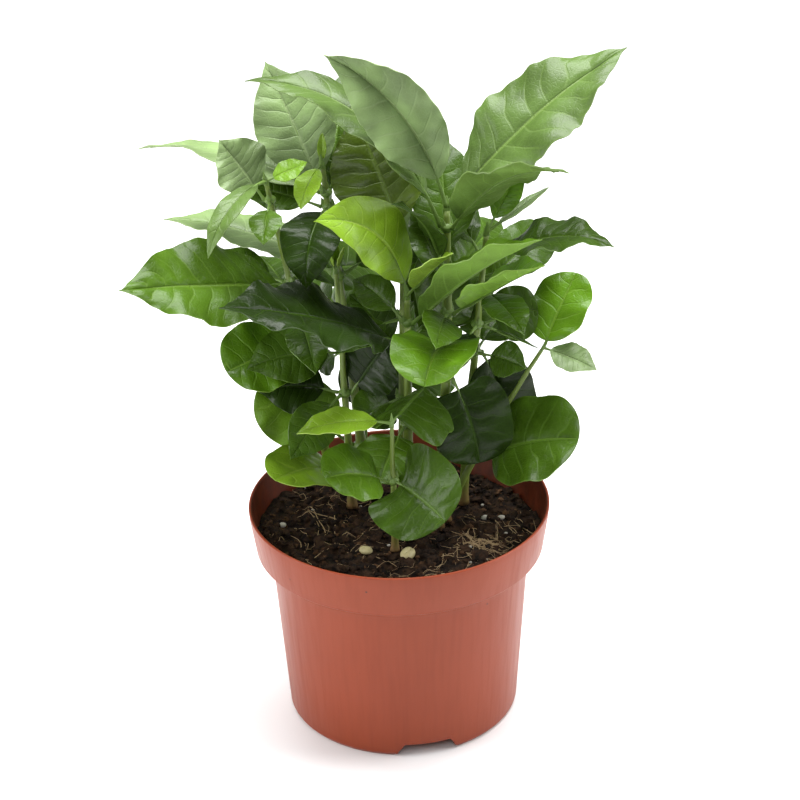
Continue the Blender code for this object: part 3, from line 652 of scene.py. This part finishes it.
def piece_from(name, work, finishes):
    """Turns a bmesh into a smooth object with its finishes."""
    shape = bpy.data.meshes.new(name)
    work.to_mesh(shape)
    work.free()
    made = linked(name, shape)
    for finish in finishes:
        shape.materials.append(finish)
    shape.polygons.foreach_set("use_smooth", [True] * len(shape.polygons))
    return made


def thickened(made, thickness, offset, under=0, rim=0):
    """Gives a sheet its thickness; under and rim choose the finishes of its underside and its rim."""
    skin = made.modifiers.new("skin", "SOLIDIFY")
    skin.thickness, skin.offset = thickness, offset
    skin.material_offset, skin.material_offset_rim = under, rim
    bpy.context.view_layer.update()
    graph = bpy.context.evaluated_depsgraph_get()
    shape = bpy.data.meshes.new_from_object(made.evaluated_get(graph), depsgraph=graph)
    made.modifiers.clear()
    made.data = shape
    return made


def joined(name, pieces):
    """One object from several, named and left at the origin."""
    if len(pieces) > 1:
        with bpy.context.temp_override(active_object=pieces[0], object=pieces[0],
                                       selected_objects=pieces, selected_editable_objects=pieces):
            bpy.ops.object.join()
    pieces[0].name = name
    pieces[0].data.name = name
    return pieces[0]


def flat_grid(rows, columns):
    """A grid one unit wide and the places of its corners."""
    sheet = bmesh.new()
    bmesh.ops.create_grid(sheet, x_segments=rows, y_segments=columns, size=0.5)
    return sheet, np.array([corner.co for corner in sheet.verts])


def move_corners(sheet, places):
    for corner, place in zip(sheet.verts, places):
        corner.co = place


def weld(work):
    bmesh.ops.remove_doubles(work, verts=work.verts, dist=1e-6)
    bmesh.ops.recalc_face_normals(work, faces=work.faces)


def wrapped_tube(name, points, radii, sides, finish, squeeze=1.0):
    """A closed tube along points: a grid wrapped round the line, its seam and both ends welded."""
    points = np.asarray(points, float)
    ahead = np.gradient(points, axis=0)
    ahead /= np.linalg.norm(ahead, axis=1)[:, None]
    start = np.cross(ahead[0], (0.0, 0.0, 1.0))
    if np.linalg.norm(start) < 0.2:
        start = np.cross(ahead[0], (0.0, 1.0, 0.0))
    side = [start / np.linalg.norm(start)]
    for step in ahead[1:]:
        kept = side[-1] - step * (side[-1] @ step)
        side.append(kept / np.linalg.norm(kept))
    side = np.array(side)
    up = np.cross(side, ahead)
    order = np.concatenate([[0], np.arange(len(points)), [len(points) - 1]])
    points, side, up = points[order], side[order], up[order]
    radii = np.concatenate([[0.0], radii, [0.0]])
    sheet, place = flat_grid(len(points) - 1, sides)
    ring = np.rint((place[:, 0] + 0.5) * (len(points) - 1)).astype(int)
    angle = 2 * pi * np.rint((place[:, 1] + 0.5) * sides) / sides
    reach = radii[ring][:, None]
    move_corners(sheet, points[ring] + reach * (np.cos(angle)[:, None] * side[ring]
                                                + np.sin(angle)[:, None] * squeeze * up[ring]))
    weld(sheet)
    return piece_from(name, sheet, [finish])


def spun(profile, steps):
    """A closed turned mesh from a profile of (radius, height)."""
    work = bmesh.new()
    corners = [work.verts.new((radius, 0.0, height)) for radius, height in profile]
    edges = [work.edges.new(pair) for pair in zip(corners, corners[1:])]
    bmesh.ops.spin(work, geom=corners + edges, cent=(0, 0, 0), axis=(0, 0, 1), angle=2 * pi,
                   steps=steps, use_merge=True)
    weld(work)
    return work


# Leaves

def vein_turn(row, share, across):
    """Counts the side veins: a whole number on a vein, a half between two."""
    pairs, sweep = LEAF_VEINS, VEIN_SWEEP
    if row["kind"] == "seed":
        pairs, sweep = SEED_VEINS, VEIN_SWEEP * 1.5
    return pairs * (share - sweep * np.abs(across) ** 1.35 * (1 - 0.35 * share)) + row["phase"]


def fine_relief(row, look, share, across, turn):
    """Height of the quilting between the veins, the sunk midrib and the ruffled edge."""
    quilt, ruffle = look[1:]
    reach = np.abs(across)
    turn = turn + np.where(across > 0, 0.5, 0.0)
    between = np.abs(np.sin(pi * turn)) ** 0.62
    inland = ease(reach * 4.5) * (1 - 0.3 * reach ** 4) * ease(share * 9) * ease((1 - share) * 7)
    quilted = quilt * row["width"] * (between - 0.55) * inland
    sunk = -0.01 * row["width"] * np.exp(-(reach / 0.07) ** 2) * ease(share * 12) * ease((1 - share) * 5)
    edge = ruffle * row["width"] * reach ** 4 * np.sin(2 * pi * turn + 0.8)
    return quilted + sunk + edge * ease(share * 6) * ease((1 - share) * 5)


def leaf_blade(name, foot, row, look, finishes, chance):
    """One blade: a grid laid on the grown surface, with relief and its own coordinates."""
    rounded = row["kind"] == "seed"
    small = rounded or row["length"] < SMALL_LEAF
    rows, columns = (SEED_ROWS, SEED_COLUMNS) if small else (LEAF_ROWS, LEAF_COLUMNS)
    sheet, place = flat_grid(rows, columns)
    share = place[:, 0] + 0.5
    if rounded:
        share = 0.5 - 0.5 * np.cos(pi * share)
    across = -2 * place[:, 1]
    across = np.sign(across) * np.abs(across) ** 1.25
    drift = [noise.noise(Vector((7.0 * s, 2.0 * a, 9.0 * chance))) for s, a in zip(share, across)]
    turn = vein_turn(row, share, across) + 0.3 * np.array(drift)
    wide = across
    if not rounded:
        scallop = 1 + SCALLOP * np.sin(2 * pi * turn + 0.4) * np.abs(across) ** 2
        wide = across * scallop * (1 - 0.75 * ease((share - 0.93) / 0.07))
    points, up = blade_points(foot, row, share, wide)
    uneven = np.array([noise.noise(Vector(p) * 75.0) for p in points])
    lift = fine_relief(row, look, share, across, turn) + 0.00045 * uneven * ease(share * 6)
    move_corners(sheet, points + up * lift[:, None])
    made = piece_from(name, sheet, finishes)
    shape = made.data
    at = np.zeros(len(shape.loops), int)
    shape.loops.foreach_get("vertex_index", at)
    blade_map, vein_map = shape.uv_layers.new(name="blade"), shape.uv_layers.new(name="veins")
    blade_map.data.foreach_set("uv", np.stack([0.5 + 0.5 * across[at], share[at]], 1).ravel())
    vein_map.data.foreach_set("uv", np.stack([turn[at], np.full(len(at), chance)], 1).ravel())
    thickened(made, LEAF_THICKNESS, 0.0, 1, 2)
    made.data.set_sharp_from_angle(angle=radians(60))
    return made


def leaf_stalk(name, foot, row, finish):
    """The leaf stalk and the midrib that runs on from it as a ridge on the blade's underside."""
    along, points, side, up = midrib(foot, row)
    start = row["stalk"] / row["length"]
    reach = np.concatenate([np.linspace(0, start, 8), start + (0.93 - start) * np.linspace(0.05, 1, 18)])
    line = np.stack([np.interp(reach, along, points[:, k]) for k in range(3)], 1)
    above = np.stack([np.interp(reach, along, up[:, k]) for k in range(3)], 1)
    on_blade = ease((reach - start) / (1 - start) * 12)
    stout = 0.55 + 0.45 * min(1.0, row["length"] / 0.06)
    radii = STALK_RADIUS * stout * (1 - 0.3 * ease(reach / start) - 0.56 * ease((reach - start) * 1.25))
    radii[:2] *= (1.25, 1.12)
    sunk = row["width"] * 0.01 + radii * 0.75
    return wrapped_tube(name, line - above * (sunk * on_blade)[:, None], radii, 8, finish)


def leaf_collar(name, seedling, share, leaves, finish):
    """The swollen joint that carries a pair of leaves, with two small pointed stipules between them."""
    axis = stem_axis(seedling, share)
    centre = stem_point(seedling, share)
    radius = stem_radius(seedling, share)
    heights = np.array([-0.0019, -0.0013, -0.0006, 0.0001, 0.0007, 0.0013, 0.0018])
    swell = np.array([0.02, 0.3, 0.78, 1.0, 0.82, 0.34, 0.02])
    ring = wrapped_tube(name + "_ring", [centre + axis * h for h in heights],
                        radius + 0.0001 + swell * (collar_radius(seedling, share) - radius), 20, finish)
    pieces = [ring]
    first = radians(leaves[0]["azimuth"]) if leaves else 0.0
    for number, turn in enumerate((first + pi / 2, first - pi / 2)):
        out = np.array([cos(turn), sin(turn), 0.0])
        base = centre + out * (radius + 0.0006) + axis * 0.0006
        line = [base + axis * (0.0031 * k / 6) + out * (0.0005 * (k / 6) ** 2) for k in range(7)]
        radii = [0.00105 * (1 - (k / 6) ** 1.5) + 0.00008 for k in range(7)]
        pieces.append(wrapped_tube(f"{name}_stipule_{number + 1}", line, radii, 8, finish, 0.42))
    return pieces


def growing_tip(name, seedling, finish):
    """The bud at a stem's end: two small leaves pressed together."""
    axis = stem_axis(seedling, 1.0)
    base = stem_point(seedling, 1.0) - axis * 0.0008
    wide = stem_radius(seedling, 1.0)
    shares = np.linspace(0, 1, 12)
    radii = wide * (1.02 + 0.35 * np.sin(pi * shares ** 0.7)) * (1 - 0.93 * shares ** 2.2)
    pieces = []
    for number, turn in enumerate((0.35, 0.35 + pi)):
        out = np.array([cos(turn), sin(turn), 0.0]) * wide * 0.28
        line = [base + axis * 0.0068 * share + out * (1 - share * 0.8) for share in shares]
        pieces.append(wrapped_tube(f"{name}_bud_{number + 1}", line, radii * 0.82, 10, finish, 0.72))
    return pieces


def stem_bark(name, seedling, finish):
    """A stem with its root flare, a slight swelling at each pair of leaves and an uneven skin."""
    shares = np.unique(np.concatenate([np.linspace(0, 0.1, 7), np.linspace(0.1, 1.0, 44)]))
    radii = np.array([stem_radius(seedling, share) for share in shares])
    for level in seedling["tiers"].values():
        if level["share"] < 1.0:
            apart = (shares - level["share"]) * seedling["height"]
            radii = radii * (1 + 0.16 * np.exp(-(apart / 0.0022) ** 2))
    points = np.array([stem_point(seedling, share) for share in shares])
    wander = np.array([noise.noise_vector(Vector(p) * 70.0) for p in points])
    wander[:, 2] = 0.0
    points = points + wander * 0.00035 * ease(shares * 8)[:, None] * ease((1 - shares) * 8)[:, None]
    return wrapped_tube(name, points, radii, 16, finish)


# Pot and soil

def pot_outside(height):
    """The body's outer radius below the collar."""
    top = POT_HEIGHT - COLLAR_DROP
    return FOOT_RADIUS + (SHOULDER_RADIUS - FOOT_RADIUS) * height / top


def notch_height(turn):
    """How far the foot is cut away at an angle round the pot."""
    third = 360.0 / NOTCHES
    apart = abs((turn - NOTCH_TURN + third / 2) % third - third / 2)
    reach = radians(apart) * FOOT_RADIUS / (NOTCH_WIDTH / 2)
    return NOTCH_HEIGHT * float(ease((1.12 - reach) / 0.34))


def moulded_pot(finish, inside):
    """The pot's shell: spun from its section, its foot notched, its edges rounded."""
    top = POT_HEIGHT - COLLAR_DROP
    ring = FOOT_RADIUS - FOOT_RING_WIDTH
    under = FLOOR_TOP - WALL
    heights = (0.066, 0.058, 0.05, 0.042, 0.034, 0.026, 0.018, 0.012, 0.009,
               0.0072, 0.006, 0.005, 0.0042, 0.0034, 0.0026, 0.002)
    profile = [(0.0, FLOOR_TOP), (0.03, FLOOR_TOP), (pot_outside(FLOOR_TOP) - WALL, FLOOR_TOP),
               (pot_outside(0.03) - WALL, 0.03), (pot_outside(top - WALL) - WALL, top - WALL),
               (COLLAR_FOOT_RADIUS - WALL, top + WALL * 0.6),
               (RIM_RADIUS - WALL, POT_HEIGHT - LIP), (RIM_RADIUS - WALL + LIP, POT_HEIGHT),
               (RIM_RADIUS - LIP, POT_HEIGHT), (RIM_RADIUS, POT_HEIGHT - LIP),
               (RIM_RADIUS - 0.0003, POT_HEIGHT - 0.004),
               (COLLAR_FOOT_RADIUS, top + 0.0006), (COLLAR_FOOT_RADIUS - 0.0006, top),
               (pot_outside(top - WALL * 0.6), top - WALL * 0.6)]
    profile += [(pot_outside(height), height) for height in heights]
    profile += [(FOOT_RADIUS - 0.0004, 0.001), (FOOT_RADIUS - 0.0014, 0.0), (ring, 0.0),
                (ring - 0.0002, 0.0016), (ring - 0.0004, 0.0034), (ring - 0.0006, under),
                (PAD_RADIUS + 0.0008, under), (PAD_RADIUS, 0.0), (0.0, 0.0)]
    work = spun(profile, POT_ROUND)
    for corner in work.verts:
        radius = corner.co.xy.length
        if radius > ring - 0.0005:
            turn = np.degrees(np.arctan2(corner.co.y, corner.co.x))
            corner.co.z = max(corner.co.z, notch_height(turn))
    creases = [edge for edge in work.edges if edge.calc_face_angle(0.0) > radians(24)]
    bmesh.ops.bevel(work, geom=creases, offset=EDGE_ROUNDING, offset_type="OFFSET", segments=2,
                    profile=0.5, affect="EDGES", material=-1, clamp_overlap=True)
    for corner in work.verts:
        corner.co.z = max(corner.co.z, 0.0)
    work.normal_update()
    # Faces of the inside wall take the second finish, with its painted shade.
    for face in work.faces:
        middle = face.calc_center_median()
        if middle.z > FLOOR_TOP - 0.001 and middle.xy.dot(face.normal.xy) < -0.3 * middle.xy.length:
            face.material_index = 1
    made = piece_from("pot_shell", work, [finish, inside])
    made.data.set_sharp_from_angle(angle=radians(45))
    return made


def soil_height(x, y):
    """The peat's uneven surface, sunk at the right-hand back but not below the pot's step."""
    radius = (x * x + y * y) ** 0.5
    rough = noise.fractal(Vector((x, y, 0.3)) * 60.0, 0.9, 2.1, 5) * ROUGH_DEPTH
    lumps = noise.noise(Vector((x, y, 1.7)) * 210.0) * LUMP_DEPTH
    away = ((x - HOLLOW_PLACE[0]) ** 2 + (y - HOLLOW_PLACE[1]) ** 2) ** 0.5
    hollow = HOLLOW_DEPTH * float(ease(1.25 - away / HOLLOW_REACH))
    edge = 0.0014 * float(ease((radius - 0.046) / 0.012))
    least = 0.0692 + 0.0062 * float(ease((radius - STEP_RADIUS) / 0.0052))
    return max(least, SOIL_TOP - 0.0004 + rough + lumps - hollow - edge)


def soil_bed(finish):
    """The peat that fills the pot, with its surface roughened."""
    top = POT_HEIGHT - COLLAR_DROP
    wall = WALL + GAP + 0.0001
    low = FLOOR_TOP + GAP
    rings = [(SOIL_RADIUS * (k / SOIL_RINGS), SOIL_TOP) for k in range(SOIL_RINGS + 1)]
    profile = rings + [(COLLAR_FOOT_RADIUS - wall - 0.0001, top + WALL * 0.6 + 0.0006),
                       (pot_outside(top - WALL) - wall, top - WALL + 0.0002),
                       (pot_outside(low) - wall, low), (0.0, low)]
    work = spun(profile, SOIL_ROUND)
    for corner in work.verts:
        if corner.co.z > SOIL_TOP - 0.0001:
            corner.co.z = soil_height(corner.co.x, corner.co.y)
    bmesh.ops.recalc_face_normals(work, faces=work.faces)
    return piece_from("soil_bed", work, [finish])


def any_spot(reach, chances):
    turn, radius = chances.uniform(0, 2 * pi), reach * chances.uniform(0, 1) ** 0.5
    return radius * cos(turn), radius * sin(turn)


def add_lump(work, size, rounds, place, fineness, roughness):
    """A small ball set in place and roughened."""
    made = bmesh.ops.create_icosphere(work, subdivisions=rounds, radius=size / 2, matrix=place)
    for corner in made["verts"]:
        corner.co += Vector(noise.noise_vector(corner.co * fineness)) * size * roughness


def soil_crumbs(name, finish, count, small, large, chances):
    """Loose crumbs of peat lying on the surface."""
    work = bmesh.new()
    for _ in range(count):
        x, y = any_spot(CRUMB_REACH, chances)
        size = small + (large - small) * chances.uniform(0, 1) ** 2.5
        spin = Matrix.Rotation(chances.uniform(0, 2 * pi), 4, "Z")
        spin = spin @ Matrix.Rotation(chances.uniform(-0.6, 0.6), 4, "X")
        stretch = Matrix.Diagonal((*chances.uniform(0.55, 1.35, 2), chances.uniform(0.4, 0.9), 1.0))
        place = Matrix.Translation((x, y, soil_height(x, y) + size * 0.15))
        add_lump(work, size, 1, place @ spin @ stretch, 700.0, 0.28)
    made = piece_from(name, work, [finish])
    made.data.polygons.foreach_set("use_smooth", [False] * len(made.data.polygons))
    return made


def fibre_line(x, y, turn, length, bend, chances, lift=0.0004):
    """A root fibre's line over the peat."""
    line, heading = [], turn
    for k in range(FIBRE_STEPS + 1):
        radius = (x * x + y * y) ** 0.5
        if radius > FIBRE_REACH:
            heading += 1.1
            x, y = x * FIBRE_REACH / radius, y * FIBRE_REACH / radius
        rise = lift + 0.001 * chances.uniform(0, 1) * sin(pi * k / FIBRE_STEPS)
        line.append((x, y, soil_height(x, y) + rise))
        heading += bend / FIBRE_STEPS + chances.uniform(-0.28, 0.28)
        x, y = x + cos(heading) * length / FIBRE_STEPS, y + sin(heading) * length / FIBRE_STEPS
    return line


def soil_fibres(finish, chances):
    """Fine roots and straw: long ones at the left, a tangle at the right, loose ones all round."""
    pieces = []

    def lay(x, y, turn, length, bend, thick):
        line = fibre_line(x, y, turn, length, bend, chances)
        radii = thick / 2 * np.linspace(1.0, 0.45, len(line))
        pieces.append(wrapped_tube(f"fibre_{len(pieces)}", line, radii, 5, finish))

    for number in range(LONG_FIBRES):
        lay(-0.046 + 0.004 * number, -0.028 + 0.005 * number, radians(20 + 16 * number),
            0.024, 0.9, 0.0004)
    for _ in range(TANGLED_FIBRES):
        lay(0.034 + chances.normal(0, 0.008), -0.019 + chances.normal(0, 0.006),
            chances.uniform(0, 2 * pi), chances.uniform(0.007, 0.02),
            chances.uniform(-1.8, 1.8), chances.uniform(0.00018, 0.00042))
    for _ in range(LOOSE_FIBRES):
        lay(*any_spot(0.052, chances), chances.uniform(0, 2 * pi), chances.uniform(0.004, 0.014),
            chances.uniform(-1.6, 1.6), chances.uniform(0.00014, 0.00032))
    return joined("soil_fibres", pieces)


def soil_grains(finish, chances):
    """Pale grains of sand and perlite in the peat, three larger ones first."""
    work = bmesh.new()
    spots = [(-0.047, 0.003), (0.0345, 0.006), (0.041, 0.005)]
    large = len(spots)
    spots += [any_spot(GRAIN_REACH, chances) for _ in range(GRAINS)]
    for number, (x, y) in enumerate(spots):
        size = 0.0026 if number < large else chances.uniform(0.0008, 0.0017)
        place = Matrix.Translation((x, y, soil_height(x, y) + size * 0.3))
        add_lump(work, size, 2, place @ Matrix.Diagonal((1.2, 0.9, 0.75, 1.0)), 900.0, 0.16)
    return piece_from("soil_grains", work, [finish])


def seed_husk(name, x, y, turn, length, wide, finish):
    """An empty seed skin on the peat: half an oval shell with a crease along it."""
    work = bmesh.new()
    bmesh.ops.create_uvsphere(work, u_segments=28, v_segments=18, radius=0.5)
    bmesh.ops.bisect_plane(work, geom=work.verts[:] + work.edges[:] + work.faces[:], dist=1e-7,
                           plane_co=(0, 0, -0.12), plane_no=(0, 0, -1), clear_outer=True)
    for corner in work.verts:
        crease = 0.16 * np.exp(-(corner.co.y / 0.07) ** 2) * max(0.0, corner.co.z + 0.12)
        corner.co.z -= crease * 1.4
        corner.co.z += 0.05 * noise.noise(corner.co * 4.0)
    place = Matrix.Translation((x, y, soil_height(x, y) + wide * 0.28))
    lean = Matrix.Rotation(turn, 4, "Z") @ Matrix.Rotation(0.25, 4, "X")
    stretch = Matrix.Diagonal((length, wide, wide * 0.8, 1.0))
    bmesh.ops.transform(work, verts=work.verts, matrix=place @ lean @ stretch)
    made = piece_from(name, work, [finish])
    return thickened(made, HUSK_THICKNESS, -1.0)


# The whole plant

def carried(piece, slot_name, *nodes):
    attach(piece, "root")
    if nodes:
        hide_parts(*nodes)
    return piece


def dress_plant():
    skins = {}
    for tone, (blade, vein, under, gloss, shine) in TONES.items():
        under_vein = tuple(min(1, channel * 1.5) for channel in under)
        skins[tone] = [leaf_finish(f"leaf_{tone}_top", blade, vein, gloss, shine),
                       leaf_finish(f"leaf_{tone}_under", under, under_vein, UNDER_GLOSS, UNDER_SHINE),
                       rim_finish(f"leaf_{tone}_rim", vein)]
    bark = stem_finish("stem_bark", (0.14, 0.205, 0.03), (0.2, 0.1, 0.036), 0.082, 0.1)
    stalk_skin = stem_finish("leaf_stalk_skin", (0.12, 0.205, 0.035), (0.12, 0.205, 0.035), 0.0, 0.01)
    chances = np.random.default_rng(11)
    for name, seedling in SEEDLINGS.items():
        carried(stem_bark(f"{name}_stem_bark", seedling, bark), "stem", f"{name}_stem")
    for name, seedling in SEEDLINGS.items():
        for level_name, level in seedling["tiers"].items():
            node = f"{name}_{level_name}_leaves"
            blades, stalks, rows = [], [], []
            for number in range(len(level["leaves"])):
                chance = chances.uniform(0, 1)
                if (name, level_name, number) not in GROWN:
                    continue
                foot, row = GROWN[name, level_name, number]
                look = look_of(name, level_name, number)
                rows.append(row)
                blades.append(leaf_blade(f"{node}_{number}", foot, row, look, skins[look[0]], chance))
                stalks.append(leaf_stalk(f"{node}_{number}_stalk", foot, row, stalk_skin))
            if level["share"] < 1.0:
                stalks += leaf_collar(node, seedling, level["share"], rows, stalk_skin)
            else:
                stalks += growing_tip(node, seedling, stalk_skin)
            carried(joined(f"{name}_{level_name}_blades", blades), "leaf", node)
            carried(joined(f"{name}_{level_name}_stalks", stalks), "leaf", node)


def dress_pot():
    outside = plastic_finish("pot_plastic_satin", 0.0)
    # The inside wall's finish paints shade over it in dark clouds.
    inside = plastic_finish("pot_plastic_shaded_inside", 0.75)
    carried(moulded_pot(outside, inside), "pot_plastic", "pot")


def dress_soil():
    chances = np.random.default_rng(5)
    dark = peat_finish("peat_dark", (0.008, 0.004, 0.002), (0.048, 0.024, 0.011), 240.0)
    brown = peat_finish("peat_brown", (0.026, 0.012, 0.005), (0.13, 0.066, 0.03), 300.0)
    carried(soil_bed(dark), "soil", "soil")
    for name, finish, count, small, large in (("dark", dark, DARK_CRUMBS, 0.001, 0.005),
                                              ("brown", brown, BROWN_CRUMBS, 0.0008, 0.0032)):
        carried(soil_crumbs(f"soil_crumbs_{name}", finish, count, small, large, chances), "soil", "soil")
    straw = dry_finish("root_fibre", (0.56, 0.41, 0.23), (0.28, 0.175, 0.085), 500.0, 0.7)
    carried(soil_fibres(straw, chances), "soil", "soil")
    stone = dry_finish("pale_grain", (0.62, 0.59, 0.52), (0.36, 0.33, 0.28), 900.0, 0.6)
    carried(soil_grains(stone, chances), "soil", "soil")
    husk = dry_finish("seed_skin", (0.62, 0.56, 0.3), (0.39, 0.33, 0.15), 420.0, 0.5)
    for name, x, y, turn, length, wide in (("seed_husk", 0.003, -0.0262, 60, 0.0078, 0.0054),
                                           ("seed_husk_small", -0.0135, -0.0205, -20, 0.0056, 0.004)):
        carried(seed_husk(name, x, y, radians(turn), length, wide, husk), "soil", "soil")


# Floor, light and camera

def plain_floor():
    work = bmesh.new()
    bmesh.ops.create_grid(work, x_segments=8, y_segments=8, size=4.0)
    made, tree, shader, place = new_finish("plain_floor")
    shade = blend_colour(tree, clouds(tree, place, 3.0), (0.9, 0.9, 0.9), (0.92, 0.92, 0.92))
    fill(tree, shader, Base_Color=shade, Roughness=0.8, Specular_IOR_Level=0.1)
    floor = piece_from("floor", work, [made])


def studio_light():
    world = bpy.data.worlds.new("studio")
    world.use_nodes = True
    back = world.node_tree.nodes["Background"]
    back.inputs["Color"].default_value = (1.0, 1.0, 1.0, 1.0)
    back.inputs["Strength"].default_value = WORLD_STRENGTH
    bpy.context.scene.world = world
    for name, (place, aim, size, power) in LIGHTS.items():
        lamp = bpy.data.lights.new(name, "AREA")
        lamp.shape = "RECTANGLE"
        lamp.size, lamp.size_y = size
        lamp.energy = power
        thing = linked(name, lamp)
        thing.location = place
        thing.rotation_euler = (Vector(aim) - Vector(place)).to_track_quat("-Z", "Y").to_euler()


def picture_camera():
    bpy.context.scene.view_settings.view_transform = "Standard"
    lens = bpy.data.cameras.new("picture")
    lens.lens = CAMERA_LENS
    lens.sensor_width = 36.0
    pitch = radians(CAMERA_PITCH)
    ahead = Vector((0.0, cos(pitch), -sin(pitch)))
    up = Vector((1, 0, 0)).cross(ahead)
    turned = Matrix.Rotation(radians(-CAMERA_ROLL), 4, ahead)
    right, up = turned @ Vector((1, 0, 0)), turned @ up
    thing = linked("picture", lens)
    place = CAMERA_TARGET - ahead * CAMERA_DISTANCE
    thing.matrix_world = Matrix.Translation(place) @ Matrix((right, up, -ahead)).transposed().to_4x4()
    bpy.context.scene.camera = thing


GROWN = grow_leaves()
dress_pot()
dress_soil()
dress_plant()
plain_floor()
studio_light()
picture_camera()
